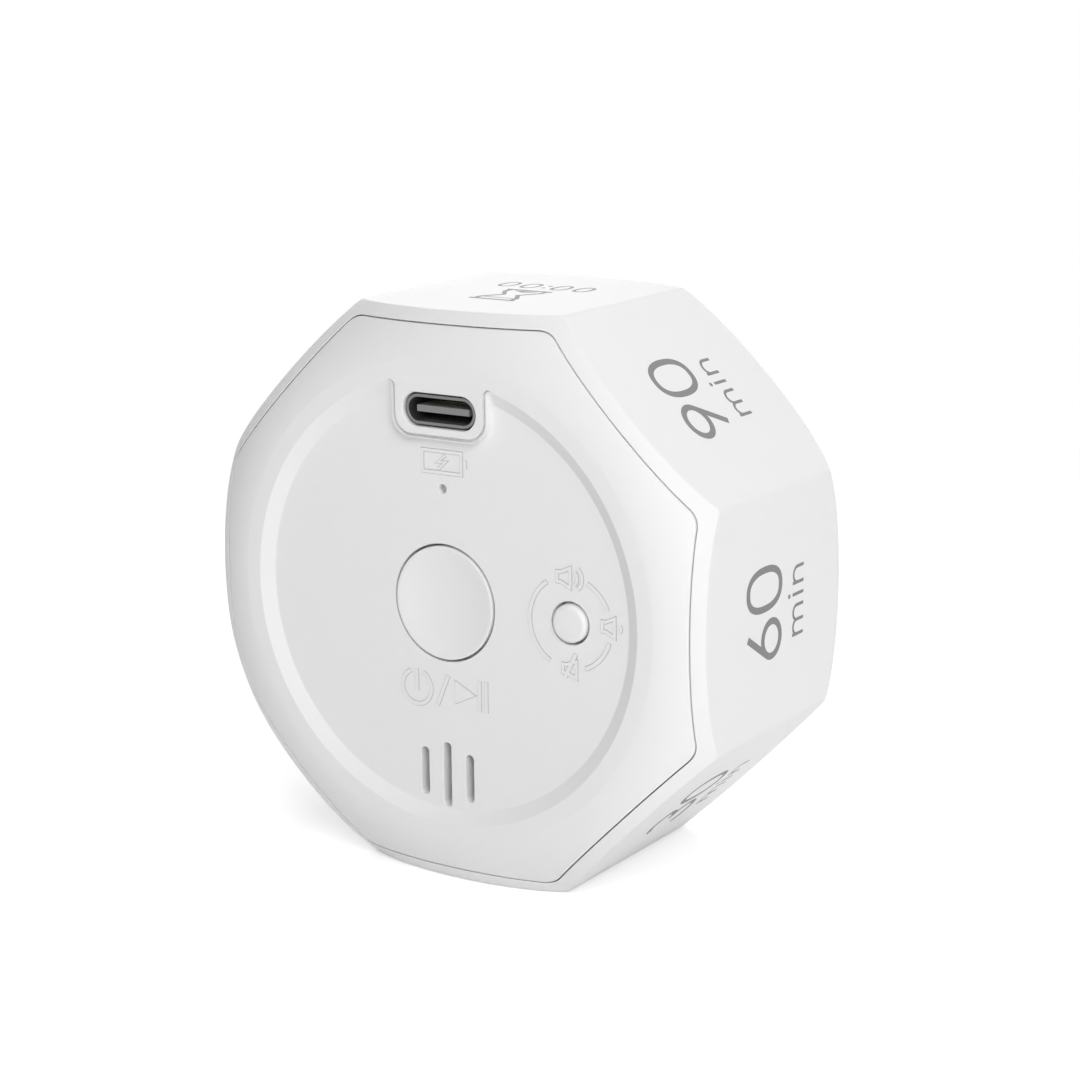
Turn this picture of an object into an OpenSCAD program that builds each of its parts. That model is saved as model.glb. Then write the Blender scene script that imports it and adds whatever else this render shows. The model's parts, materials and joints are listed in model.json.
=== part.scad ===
// Flip timer: an octagonal desk timer that is set by standing it on another facet.
// Each piece is drawn as seen from the back, from the centre of the octagon: x runs to the right,
// y up and z out of the back. from_back() stands the drawing on its bottom facet, so that the back
// faces +Y and the display faces -Y. Lengths are in millimetres.

/* [Body] */
// Distance across the flats of the octagon
across_flats = 62.7; // [60:0.1:68]
// Depth over the highest rings of the back and front domes
body_depth = 33.7; // [33:0.1:40]
// Radius of the arc that rounds the back and the front
dome_r = 10.7; // [10.2:0.1:14]
// Distance in from the facets at which that arc runs level
dome_reach = 6.4; // [6:0.1:7]
// Distance from the facets to the round recesses of the back and the front
rim_w = 6.85; // [6.5:0.05:7.4]
// Width of the level ring around those recesses
level_ring_w = 1.7; // [1:0.1:2.2]
// Radius of the edges between facets
facet_edge_r = 1; // [0.4:0.1:2]
// Wall of the housing
wall = 2.4; // [2.2:0.1:2.8]

/* [Back cover] */
// Width of the housing's rim outside the seam
seam_inset = 1.4; // [1.2:0.1:1.8]
// Width of the seam
seam_gap = 0.2; // [0.1:0.05:0.3]
// Corner radius of the seam's outline
seam_corner_r = 3; // [2.5:0.25:5]
// Height of the rim's corners above the ledge that carries the cover
rim_lip = 1.6; // [1:0.1:2.2]
// Thickness of the cover's side and dome
cover_wall = 1.8; // [1.4:0.1:2.2]
// Thickness of the disc in the recess
disc_wall = 1.6; // [1.2:0.1:2]
// Depth of the recess below the dome
recess_depth = 0.9; // [0.6:0.05:1.2]
// Width of the recess's sloped wall
recess_slope_w = 1.5; // [0.8:0.1:2]

/* [Snap hooks] */
// Width of each hook
hook_w = 7; // [5:0.5:10]
// Thickness of each hook
hook_t = 1.2; // [1:0.1:1.4]
// Length of each hook below the cover's edge
hook_l = 4; // [3:0.25:5]
// How far each hook's nose stands out
nose_reach = 0.6; // [0.4:0.05:0.8]
// Height of each nose
nose_h = 1.2; // [0.8:0.1:1.6]
// Play between the hooks and the housing
hook_play = 0.15; // [0.1:0.05:0.25]

/* [Charging port] */
// Width of the port's metal shell
port_w = 8.94; // [8.8:0.02:9.2]
// Height of the port's metal shell
port_h = 3.26; // [3.1:0.02:3.4]
// Sheet thickness of the shell
port_sheet = 0.35; // [0.2:0.05:0.4]
// Length of the shell above the main board
port_l = 7.45; // [6.8:0.05:7.8]
// Depth of the shell's mouth below the tab's face
port_set_in = 0.35; // [0.2:0.05:1.2]
// Play around the shell
port_play = 0.2; // [0.1:0.05:0.3]
// Distance from the recess's foot to the port's centre
port_drop = 2.1; // [2:0.05:2.8]
// Distance by which the port and its tab stand right of the middle
port_x = 0.3; // [0:0.05:0.5]
// Width of the raised tab
tab_w = 12.1; // [11:0.1:13]
// Distance from the port's centre to the tab's lower edge
tab_drop = 3.05; // [2.5:0.05:3.3]
// Radius of the tab's lower corners
tab_corner_r = 2.4; // [1:0.1:2.5]
// Width of the lip outside the groove along the tab's edge
tab_lip_w = 0.1; // [0.08:0.01:0.2]
// Width of that groove
tab_groove_w = 0.3; // [0.2:0.02:0.5]
// Depth of that groove below the tab's face
tab_groove = 0.45; // [0.2:0.05:0.5]
// Width of the port's tongue
tongue_w = 6.69; // [6.5:0.01:6.8]
// Thickness of the port's tongue
tongue_t = 0.7; // [0.6:0.02:0.8]
// Depth of the tongue's tip below the shell's mouth
tongue_set_in = 0.5; // [0.3:0.1:1]
// Height of the port's plastic base over the board
port_base_h = 1.2; // [0.8:0.1:1.5]
// Play between the plastic base and the shell
port_base_play = 0.05; // [0.03:0.01:0.1]
// Number of contact strips on each face of the tongue
contact_count = 12; // [8:1:12]
// Distance between neighbouring contact strips
contact_pitch = 0.5; // [0.45:0.01:0.52]
// Width of a contact strip
contact_w = 0.25; // [0.2:0.01:0.3]
// Length of a contact strip
contact_l = 3; // [2:0.1:3.4]
// Thickness of a contact strip
contact_t = 0.06; // [0.04:0.01:0.1]

/* [Power button] */
// Radius of the power button
power_r = 6.25; // [5.5:0.05:7]
// Height of the power button's edge above the disc
power_proud = 0.1; // [0.05:0.05:0.3]
// Radius of the power button's rounded edge
power_edge_r = 0.15; // [0.05:0.05:0.3]
// Width of the rim around the power button's dished top
dish_margin = 0.35; // [0.3:0.05:0.8]
// Depth of the power button's dished top
dish_depth = 0.5; // [0.2:0.05:0.8]
// Travel of the power button
power_travel = 0.6; // [0.3:0.05:0.7]
// Radius of the power button's stem
power_stem_r = 1.5; // [1:0.1:1.6]

/* [Volume button] */
// Radius of the volume button
volume_r = 2.1; // [2:0.1:2.8]
// Distance from the recess's foot to the volume button's middle
volume_margin = 7.1; // [6.5:0.05:8]
// Height of the volume button above the disc
volume_proud = 0.45; // [0.2:0.05:0.6]
// Radius of the volume button's rounded edge
volume_edge_r = 0.35; // [0.1:0.05:0.5]
// Travel of the volume button
volume_travel = 0.5; // [0.3:0.05:0.7]
// Radius of the volume button's stem
volume_stem_r = 0.9; // [0.6:0.1:1]

/* [Button fits] */
// Play around each button in its hole
button_play = 0.2; // [0.08:0.01:0.25]
// Width of the flange that keeps each button in
flange_w = 1; // [0.6:0.1:1.4]
// Thickness of those flanges
flange_t = 0.9; // [0.6:0.1:1]
// Gap between the flanges and the cover at rest
flange_play = 0.1; // [0.05:0.05:0.15]

/* [Switches] */
// Side of the power switch
power_switch_w = 6; // [5:0.1:7]
// Side of the volume switch
volume_switch_w = 4.5; // [4:0.1:5]
// Height of the switch bases
switch_h = 2.9; // [2.6:0.05:3]
// Thickness of the floor of a switch base
switch_floor = 0.8; // [0.5:0.1:1]
// Thickness of a switch's metal cover
switch_plate = 0.2; // [0.15:0.05:0.25]
// Radius of the power switch's plunger
power_plunger_r = 1.7; // [1.6:0.1:2]
// Radius of the volume switch's plunger
volume_plunger_r = 1.1; // [1:0.1:1.4]
// Height of the plungers above the metal covers
plunger_proud = 0.8; // [0.7:0.05:0.9]
// Play around a plunger
plunger_play = 0.1; // [0.06:0.02:0.14]
// Thickness of the snap domes under the plungers
snap_t = 0.08; // [0.06:0.01:0.12]
// Gap between a plunger and its snap dome at rest
snap_clearance = 0.04; // [0.02:0.01:0.06]

/* [Charging light] */
// Distance from the port's centre to the light
light_drop = 8.45; // [7:0.05:9]
// Radius of the light pipe
pipe_r = 0.45; // [0.35:0.05:0.6]
// Depth of the pipe's end below the disc
pipe_set_in = 0.5; // [0.2:0.1:0.8]
// Play around the pipe
pipe_play = 0.05; // [0.03:0.01:0.08]
// Radius of the pipe's collar
collar_r = 1.2; // [0.9:0.1:1.6]
// Thickness of the pipe's collar
collar_t = 0.8; // [0.5:0.1:1]
// Gap between the pipe and the light below it
pipe_gap = 0.1; // [0.05:0.05:0.2]
// Width of the charging light
led_w = 1.6; // [1.2:0.1:2]
// Length of the charging light
led_l = 0.8; // [0.6:0.1:1.2]
// Height of the charging light
led_h = 0.7; // [0.5:0.1:0.9]

/* [Speaker] */
// Radius of the speaker
speaker_r = 6.5; // [6:0.1:6.8]
// Height of the speaker's frame
speaker_h = 3.2; // [2.8:0.1:3.4]
// Wall of the speaker's frame
speaker_wall = 0.7; // [0.5:0.1:0.9]
// Radius of the speaker's magnet
magnet_r = 4; // [3:0.1:4.3]
// Height of the speaker's magnet
magnet_h = 1.6; // [1.2:0.1:2]
// Thickness of the plate behind the magnet
yoke_t = 0.6; // [0.4:0.1:0.8]
// Thickness of the foam ring in front of the speaker
gasket_t = 0.4; // [0.3:0.1:0.6]
// Thickness of the speaker's cone
cone_t = 0.2; // [0.15:0.05:0.3]
// Play between the speaker and the ring that holds it
speaker_play = 0.1; // [0.05:0.05:0.2]
// Wall of the ring that holds the speaker
ring_wall = 0.9; // [0.7:0.1:1.1]
// Height of the ring that holds the speaker
ring_h = 2.2; // [1.5:0.1:3]
// Radius of the speaker's leads
speaker_lead_r = 0.3; // [0.2:0.05:0.4]
// Length of the middle slot
slot_long = 7.3; // [6:0.1:8]
// Length of the outer slots
slot_short = 5.4; // [4:0.1:5.8]
// Width of the slots
slot_w = 1.05; // [0.6:0.05:1.2]
// Distance between neighbouring slots
slot_pitch = 2.95; // [2.2:0.05:3.2]
// Distance from the middle slot to the recess's foot
slot_margin = 0.15; // [0.1:0.05:1]

/* [Boards and screws] */
// Thickness of the circuit boards
board_t = 1.2; // [1:0.1:1.6]
// Distance from the facets to the main board's edge
main_board_inset = 5; // [4.6:0.1:5.4]
// Distance from the main board's edge to its screws
main_screw_inset = 3.2; // [3:0.1:4]
// Angle of those screws above and below the middle
main_screw_angle = 29; // [26:1:31]
// Gap between the display board's edge and the housing
display_board_gap = 1.2; // [0.8:0.1:1.6]
// Distance from the display board's edge to its screws
display_screw_inset = 2.4; // [2.3:0.1:3]
// Radius of the screw posts
post_r = 2.2; // [1.8:0.1:2.4]
// Radius of the screws
screw_r = 0.8; // [0.6:0.05:1]
// Length of the screws under the head
screw_l = 5; // [4:0.25:5.25]
// Radius of the screw heads
screw_head_r = 1.7; // [1.4:0.1:1.9]
// Height of the screw heads
screw_head_h = 1.1; // [0.8:0.1:1.3]
// Length of the cross in the screw heads
cross_l = 1.7; // [1.2:0.1:2.4]
// Width of that cross
cross_w = 0.4; // [0.3:0.05:0.6]
// Depth of that cross
cross_depth = 0.5; // [0.3:0.05:0.7]
// Play around the screws in the posts
screw_play = 0.03; // [0.02:0.01:0.06]
// Play around the screws in the boards
board_hole_play = 0.25; // [0.15:0.05:0.4]

/* [Display] */
// Thickness of the display window
lens_t = 1.5; // [1.2:0.1:2]
// Depth of the window's face below the front dome
lens_set_in = 0.3; // [0.1:0.05:0.6]
// Play around the window
lens_play = 0.15; // [0.1:0.05:0.3]
// Width of the ledge that carries the window
ledge_w = 2.5; // [2:0.1:3]
// Thickness of that ledge
ledge_t = 1.4; // [1:0.1:1.8]
// Thickness of the adhesive ring
adhesive_t = 0.2; // [0.1:0.05:0.3]
// Width of the adhesive ring
adhesive_w = 1.9; // [1.2:0.1:2]
// Gap between the window and the display behind it
reflector_gap = 0.6; // [0.4:0.1:1]
// Width of the display's body
reflector_w = 38; // [36:0.5:39]
// Height of the display's body as the display is read
reflector_l = 16; // [14:0.5:17]
// Depth of the display's body
reflector_h = 5.4; // [4.5:0.1:6]
// Distance between the corners of a segment's hexagon
segment_l = 4.6; // [4:0.1:5]
// Width of a segment
segment_w = 1.1; // [0.8:0.05:1.2]
// Gap between neighbouring segments
segment_gap = 0.3; // [0.2:0.05:0.5]
// Depth of the fill in a segment
segment_fill = 1.2; // [0.6:0.1:2]
// Play around that fill
fill_play = 0.03; // [0.02:0.01:0.06]
// Distance between neighbouring digits
digit_pitch = 7.9; // [7.4:0.1:8.2]
// Distance from the centre to the inner digits' middles
digit_inner_x = 5.3; // [4.8:0.1:5.6]
// Radius of the dots of the colon
colon_r = 0.7; // [0.5:0.05:0.9]
// Side of a segment's light
chip_led_w = 0.7; // [0.5:0.05:0.8]
// Height of a segment's light
chip_led_h = 0.5; // [0.3:0.05:0.7]

/* [Ribbon cable] */
// Width of the ribbon cable
ribbon_w = 8; // [6:0.5:9]
// Thickness of the ribbon cable
ribbon_t = 0.3; // [0.2:0.05:0.4]
// Length of the cable's straight ends outside the sockets
ribbon_lead_in = 1; // [0.5:0.1:1.5]
// Clearance between the cable's loop and the snap hooks
ribbon_clearance = 1; // [0.6:0.1:1.5]
// Width of the ribbon sockets
socket_w = 10; // [9.6:0.1:11]
// Length of the ribbon sockets
socket_l = 3.5; // [3:0.1:4]
// Height of the ribbon sockets
socket_h = 2; // [1.5:0.1:2.4]
// How far the cable reaches into a socket
socket_grip = 2; // [1:0.1:2.5]
// Play around the cable in a socket
socket_play = 0.05; // [0.03:0.01:0.1]

/* [Battery] */
// Width of the battery
battery_w = 34; // [30:0.5:35]
// Length of the battery
battery_l = 20; // [18:0.5:21]
// Thickness of the battery
battery_t = 6; // [5:0.1:7]
// Distance of the battery's middle below the centre
battery_drop = 8.5; // [8.2:0.1:9]
// Thickness of the foam tape under the battery
tape_t = 0.3; // [0.2:0.1:0.5]
// Margin of the tape inside the battery's outline
tape_margin = 3.5; // [3.5:0.1:5]
// Length of the sealed strip at the battery's top
strip_l = 1; // [0.6:0.1:1.2]
// Thickness of the sealed strip
strip_t = 1.6; // [1.4:0.1:2]
// Radius of the battery's leads
lead_r = 0.5; // [0.35:0.05:0.55]
// Radius of the bends in the leads
lead_bend_r = 1; // [0.8:0.1:1.1]
// Length of the leads' straight ends
lead_end_l = 0.6; // [0.3:0.1:1]
// Distance between the leads where they run side by side
lead_pitch = 1.4; // [1.2:0.1:1.6]
// Distance of the red lead's start from the centre, sideways
lead_start_x = 6; // [4:0.5:8]
// Distance of the plug from the centre, sideways
plug_x = 12; // [11:0.1:12.5]
// Width of the battery's plug
plug_w = 5.2; // [4.8:0.1:5.6]
// Height of the battery's plug
plug_h = 2.4; // [2:0.1:2.6]
// Length of the battery's plug
plug_l = 4; // [3.5:0.1:4.5]
// How far the plug goes into its socket
plug_grip = 2.5; // [2:0.1:3]
// Play around the plug in its socket
plug_play = 0.08; // [0.05:0.01:0.12]
// Wall of the plug's socket
plug_wall = 0.5; // [0.4:0.05:0.7]

/* [Chips] */
// Side of the controller chip
controller_w = 7; // [5:0.1:7.2]
// Distance of the controller chip from the centre, sideways
controller_x = 10; // [9:0.1:11]
// Side of the motion sensor
sensor_w = 3; // [2:0.1:3.4]
// Side of the charger chip
charger_w = 2.6; // [2:0.1:3]
// Distance of the charger chip from the centre, sideways
charger_x = 5; // [4.5:0.1:6]
// Length of the display driver
driver_w = 10; // [8:0.1:12]
// Width of the display driver
driver_l = 4; // [3:0.1:5]
// Height of the chips
chip_h = 1; // [0.7:0.05:1.2]
// Gap between the ribbon's socket and the chips below it
chip_gap = 1.3; // [1:0.1:2]
// Number of small parts beside the controller
passive_count = 6; // [2:1:7]
// Distance between neighbouring small parts
passive_pitch = 1.4; // [1.2:0.1:1.6]
// Width of a small part
passive_w = 0.6; // [0.5:0.05:0.8]
// Length of a small part
passive_l = 1.2; // [1:0.1:1.6]

/* [Hidden] */
$fn = 64;

// Body and domes
half_corner = 22.5;
half_flats = across_flats / 2;
half_depth = body_depth / 2;
level_r = half_flats - dome_reach;
recess_r = half_flats - rim_w;
dome_top_r = recess_r + level_ring_w;
dome_z = half_depth - sqrt(pow(dome_r, 2) - pow(dome_top_r - level_r, 2));
corner_r = (half_flats - facet_edge_r) / cos(half_corner) + facet_edge_r;
dome_edge_r = corner_r + facet_edge_r;
corner_z = dome_z + sqrt(pow(dome_r, 2) - pow(corner_r - level_r, 2));
inner_flats = half_flats - wall;

// Back cover
seat_z = corner_z - rim_lip;
disc_z = half_depth - recess_depth;
disc_in_z = disc_z - disc_wall;
recess_foot_r = recess_r - recess_slope_w;
cover_flats = half_flats - seam_inset - seam_gap;
cover_in_flats = cover_flats - cover_wall;
hook_out = inner_flats - hook_play;
hook_tip_z = seat_z - hook_l;

// Main board, switches and port
port_y = recess_foot_r - port_drop;
light_y = port_y - light_drop;
volume_x = recess_foot_r - volume_margin;
port_face_z = half_depth - port_set_in;
main_back_z = port_face_z - port_l;
main_front_z = main_back_z - board_t;
main_board_r = half_flats - main_board_inset;
main_screw_r = main_board_r - main_screw_inset;
tongue_tip_z = port_face_z - tongue_set_in;
plunger_top_z = main_back_z + switch_h + switch_plate + plunger_proud;
well_z = main_back_z + switch_floor;
flange_top_z = disc_in_z - flange_play;
flange_z = flange_top_z - flange_t;

// Speaker
slot_y = -(recess_foot_r - slot_margin - slot_long / 2);
speaker_top_z = disc_in_z - gasket_t;
speaker_z = speaker_top_z - speaker_h;
cone_z = speaker_top_z - speaker_wall;

// Display
lens_r = recess_r - lens_play;
lens_face_z = -half_depth + lens_set_in;
lens_back_z = lens_face_z + lens_t;
ledge_z = lens_back_z + adhesive_t;
window_r = recess_r - ledge_w;
reflector_z = lens_back_z + reflector_gap;
display_front_z = reflector_z + reflector_h;
display_back_z = display_front_z + board_t;
display_board_r = inner_flats - display_board_gap;
display_screw_r = display_board_r - display_screw_inset;
digit_middles = [for (side = [-1, 1], step = [0, 1]) side * (digit_inner_x + step * digit_pitch)];

// Ribbon cable
loop_z = (main_front_z + display_back_z) / 2;
loop_r = (main_front_z - display_back_z - socket_h) / 2;
loop_y = hook_out - hook_t - ribbon_clearance - loop_r - ribbon_t / 2;
socket_mouth_y = loop_y - ribbon_lead_in;

// Battery, leads and plug
battery_z = main_front_z - tape_t - battery_t / 2;
battery_top_y = battery_l / 2 - battery_drop;
strip_top_y = battery_top_y + strip_l;
plug_socket_h = plug_h + 2 * (plug_play + plug_wall);
lead_z = main_front_z - plug_socket_h / 2;
black_run_y = strip_top_y + lead_end_l + lead_bend_r;
red_run_y = black_run_y + lead_pitch;
plug_y = red_run_y + lead_bend_r + lead_end_l;
chip_row_y = socket_mouth_y - socket_l - chip_gap - sensor_w / 2;
passive_row_y = chip_row_y + controller_w / 2 + passive_l;

// Stands a drawing of the back on its bottom facet
module from_back() {
    translate([0, 0, half_flats])
        rotate([90, 0, 180])
            children();
}

// Moves a drawing along the axis
module raise(z) {
    translate([0, 0, z])
        children();
}

// Extrudes an outline drawn in y and z by a width across x
module across(width) {
    translate([-width / 2, 0, 0])
        rotate([90, 0, 90])
            linear_extrude(width)
                children();
}

// Octagon outline with rounded corners
module octagon(apothem, round_r) {
    corner_at = (apothem - round_r) / cos(half_corner);
    polygon([
        for (corner = [0:7], side = [-1, 1])
            let (middle = (2 * corner + 1) * half_corner, end = middle + side * half_corner)
                corner_at * [cos(middle), sin(middle)] + round_r * [cos(end), sin(end)]
    ]);
    for (corner = [0:7])
        rotate((2 * corner + 1) * half_corner)
            translate([corner_at, 0])
                circle(round_r);
}

// Slot outline with round ends, long side along x
module stadium(length, height) {
    square([length - height, height], center = true);
    for (side = [-1, 1])
        translate([side * (length - height) / 2, 0])
            circle(height / 2);
}

// Box that stands on z = 0 around the axis
module block(x, y, z) {
    translate([-x / 2, -y / 2, 0])
        cube([x, y, z]);
}

// Ring that stands on z = 0
module ring(outer_r, inner_r, height) {
    linear_extrude(height)
        difference() {
            circle(outer_r);
            circle(inner_r);
        }
}

// Half section, from the axis outwards, of all that lies under the back dome moved in by inset
module under_dome(inset, top) {
    intersection() {
        translate([0, -half_depth])
            square([dome_edge_r, half_depth + top]);
        union() {
            translate([level_r, dome_z])
                circle(dome_r - inset);
            translate([0, -half_depth])
                square([level_r, body_depth]);
            translate([0, -half_depth])
                square([dome_edge_r, half_depth]);
        }
    }
}

// Outside of the whole timer as one solid
module envelope() {
    intersection() {
        raise(-half_depth)
            linear_extrude(body_depth)
                octagon(half_flats, facet_edge_r);
        rotate_extrude()
            intersection() {
                under_dome(0, half_depth);
                mirror([0, 1])
                    under_dome(0, half_depth);
            }
    }
}

// Room inside the housing, open at the back
module housing_room() {
    intersection() {
        raise(-half_depth)
            linear_extrude(body_depth)
                octagon(inner_flats, facet_edge_r);
        rotate_extrude()
            mirror([0, 1])
                under_dome(wall, half_depth - wall);
    }
}

// Places children at the four snap hooks, with y out of the facet
module at_hooks() {
    for (quarter = [0:3])
        rotate(90 * quarter)
            children();
}

// Places children at the screws of the display board
module at_display_screws() {
    for (quarter = [0:3])
        rotate(90 * quarter + 45)
            translate([display_screw_r, 0])
                children();
}

// Places children at the screws of the main board
module at_main_screws() {
    for (half = [0, 1], side = [-1, 1])
        rotate(180 * half + side * main_screw_angle)
            translate([main_screw_r, 0])
                children();
}

// Pan-head screw with its head under z = 0 and its shank along +z
module screw() {
    neck_h = (screw_head_h - cross_depth) / 2;
    difference() {
        union() {
            raise(-screw_head_h)
                cylinder(r = screw_head_r, h = screw_head_h);
            raise(-neck_h)
                cylinder(r = screw_r, h = screw_l + neck_h);
        }
        for (turn = [0, 90])
            raise(-screw_head_h - cross_depth)
                rotate(turn)
                    block(cross_l, cross_w, 2 * cross_depth);
    }
}

module housing() {
    color("white")
        from_back()
            difference() {
                union() {
                    difference() {
                        envelope();
                        housing_room();
                    }
                    raise(ledge_z)
                        ring(recess_r + ledge_w, window_r, ledge_t);
                    at_display_screws()
                        raise(ledge_z)
                            cylinder(r = post_r, h = display_front_z - ledge_z);
                }
                raise(seat_z)
                    linear_extrude(body_depth)
                        octagon(half_flats - seam_inset, seam_corner_r);
                raise(ledge_z - body_depth)
                    cylinder(r = recess_r, h = body_depth);
                at_hooks()
                    translate([0, inner_flats + nose_reach / 2, hook_tip_z])
                        block(hook_w + 2 * hook_play, nose_reach, nose_h + hook_play);
                at_display_screws()
                    raise(display_front_z - screw_l + board_t / 2)
                        cylinder(r = screw_r + screw_play, h = screw_l);
            }
}

// Outline of the port's raised tab, drawn in by an inset and open towards the recess's edge
module tab_outline(inset) {
    inner_w = tab_w - 2 * tab_corner_r;
    outer_w = tab_w - 2 * inset;
    foot_y = port_y - tab_drop + inset;
    corner_y = port_y - tab_drop + tab_corner_r;
    translate([port_x - inner_w / 2, foot_y])
        square([inner_w, half_flats - foot_y]);
    translate([port_x - outer_w / 2, corner_y])
        square([outer_w, half_flats - corner_y]);
    for (side = [-1, 1])
        translate([port_x + side * inner_w / 2, corner_y])
            circle(tab_corner_r - inset);
}

// Groove along the edge of the tab's face
module tab_edge_groove() {
    intersection() {
        raise(half_depth - tab_groove)
            cylinder(r = recess_r, h = 2 * tab_groove);
        raise(disc_z)
            linear_extrude(2 * recess_depth)
                difference() {
                    tab_outline(tab_lip_w);
                    tab_outline(tab_lip_w + tab_groove_w);
                }
    }
}

// Cut that sinks the disc below the dome and leaves the tab standing
module recess() {
    open_z = half_depth + recess_depth;
    difference() {
        rotate_extrude()
            polygon([
                [0, disc_z], [recess_foot_r, disc_z], [recess_r, half_depth], [recess_r, open_z], [0, open_z]
            ]);
        raise(disc_z - recess_depth)
            linear_extrude(4 * recess_depth)
                tab_outline(0);
    }
}

// Domed shell of the back cover
module cover_shell() {
    difference() {
        intersection() {
            raise(seat_z)
                linear_extrude(half_depth - seat_z)
                    octagon(cover_flats, seam_corner_r);
            rotate_extrude()
                under_dome(0, half_depth);
        }
        intersection() {
            raise(seat_z - cover_wall)
                linear_extrude(body_depth)
                    octagon(cover_in_flats, seam_corner_r);
            rotate_extrude()
                under_dome(cover_wall, disc_in_z);
        }
        recess();
        tab_edge_groove();
    }
}

// Snap hook on the facet along y
module hook() {
    translate([0, hook_out - hook_t / 2, hook_tip_z])
        block(hook_w, hook_t, hook_l + cover_wall);
    across(hook_w)
        translate([hook_out - hook_t / 2, hook_tip_z])
            polygon([
                [0, 0],
                [hook_t / 2, 0],
                [hook_t / 2 + nose_reach, nose_h / 2],
                [hook_t / 2 + nose_reach, nose_h],
                [0, nose_h]
            ]);
}

module back_cover() {
    color("white")
        from_back()
            difference() {
                union() {
                    cover_shell();
                    at_hooks()
                        hook();
                    at_main_screws()
                        raise(main_back_z)
                            cylinder(r = post_r, h = disc_in_z - main_back_z + disc_wall / 2);
                    translate([0, slot_y, disc_in_z - ring_h])
                        ring(speaker_r + speaker_play + ring_wall, speaker_r + speaker_play,
                             ring_h + disc_wall / 2);
                }
                raise(disc_in_z - disc_wall)
                    linear_extrude(body_depth) {
                        circle(power_r + button_play);
                        translate([volume_x, 0])
                            circle(volume_r + button_play);
                        translate([0, light_y])
                            circle(pipe_r + pipe_play);
                        translate([port_x, port_y])
                            stadium(port_w + 2 * port_play, port_h + 2 * port_play);
                        for (side = [-1:1])
                            translate([side * slot_pitch, slot_y])
                                rotate(90)
                                    stadium(side == 0 ? slot_long : slot_short, slot_w);
                    }
                at_main_screws()
                    raise(main_front_z)
                        cylinder(r = screw_r + screw_play, h = screw_l + board_t / 2);
            }
}

// Half section of a button: cap, retaining flange and stem
module button_section(cap_r, top_z, edge_r, stem_r) {
    polygon([[0, plunger_top_z], [stem_r, plunger_top_z], [stem_r, flange_top_z], [0, flange_top_z]]);
    translate([0, flange_z])
        square([cap_r + flange_w, flange_t]);
    translate([0, flange_z])
        square([cap_r, top_z - edge_r - flange_z]);
    translate([0, flange_z])
        square([cap_r - edge_r, top_z - flange_z]);
    translate([cap_r - edge_r, top_z - edge_r])
        circle(edge_r);
}

module power_button() {
    top_z = disc_z + power_proud;
    dish_w = power_r - dish_margin;
    dish_r = (pow(dish_w, 2) + pow(dish_depth, 2)) / (2 * dish_depth);
    color("white")
        from_back()
            difference() {
                rotate_extrude()
                    button_section(power_r, top_z, power_edge_r, power_stem_r);
                raise(top_z - dish_depth + dish_r)
                    sphere(dish_r);
            }
}

module volume_button() {
    color("white")
        from_back()
            translate([volume_x, 0])
                rotate_extrude()
                    button_section(volume_r, disc_z + volume_proud, volume_edge_r, volume_stem_r);
}

module display_lens() {
    color("black")
        from_back()
            raise(lens_face_z)
                cylinder(r = lens_r, h = lens_t);
}

module lens_adhesive() {
    color("dimgray")
        from_back()
            raise(lens_back_z)
                ring(lens_r, lens_r - adhesive_w, adhesive_t);
}

// Places children at the middle of every segment, with x along the segment
module at_segments() {
    for (digit_x = digit_middles)
        translate([digit_x, 0]) {
            for (row = [-1:1])
                translate([0, row * segment_l])
                    children();
            for (side = [-1, 1], row = [-1, 1])
                translate([side * segment_l / 2, row * segment_l / 2])
                    rotate(90)
                        children();
        }
}

// Places children at the dots of the colon
module at_colon() {
    for (row = [-1, 1])
        translate([0, row * segment_l / 2])
            children();
}

// Outline of one segment, drawn in by a margin
module segment_outline(margin) {
    half_l = (segment_l - segment_gap) / 2 - margin;
    half_w = segment_w / 2 - margin;
    polygon([
        [-half_l, 0], [half_w - half_l, half_w], [half_l - half_w, half_w],
        [half_l, 0], [half_l - half_w, -half_w], [half_w - half_l, -half_w]
    ]);
}

module display_reflector() {
    color("black")
        from_back()
            raise(reflector_z)
                difference() {
                    block(reflector_w, reflector_l, reflector_h);
                    at_segments()
                        linear_extrude(reflector_h)
                            segment_outline(0);
                    at_colon()
                        cylinder(r = colon_r, h = reflector_h);
                }
}

module display_segments() {
    color("whitesmoke")
        from_back()
            raise(reflector_z) {
                at_segments()
                    linear_extrude(segment_fill)
                        segment_outline(fill_play);
                at_colon()
                    cylinder(r = colon_r - fill_play, h = segment_fill);
            }
}

module segment_leds() {
    color("gold")
        from_back()
            raise(display_front_z - chip_led_h) {
                at_segments()
                    block(chip_led_w, chip_led_w, chip_led_h);
                at_colon()
                    block(chip_led_w, chip_led_w, chip_led_h);
            }
}

module display_board() {
    color("darkgreen")
        from_back()
            difference() {
                raise(display_front_z)
                    cylinder(r = display_board_r, h = board_t);
                at_display_screws()
                    raise(display_front_z)
                        cylinder(r = screw_r + board_hole_play, h = board_t);
            }
}

module display_driver() {
    color("black")
        from_back()
            translate([0, -driver_l, display_back_z])
                block(driver_w, driver_l, chip_h);
}

module display_screws() {
    color("silver")
        from_back()
            at_display_screws()
                raise(display_back_z)
                    rotate([180, 0, 0])
                        screw();
}

// Section of a ribbon socket in y and z, with its board side on z = 0 and its mouth towards +y
module socket_section() {
    slot_h = ribbon_t + 2 * socket_play;
    difference() {
        translate([-socket_l, 0])
            square([socket_l, socket_h]);
        translate([-socket_grip - socket_play, (socket_h - slot_h) / 2])
            square([socket_l, slot_h]);
    }
}

module display_socket() {
    color("ivory")
        from_back()
            across(socket_w)
                translate([socket_mouth_y, display_back_z])
                    socket_section();
}

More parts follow.
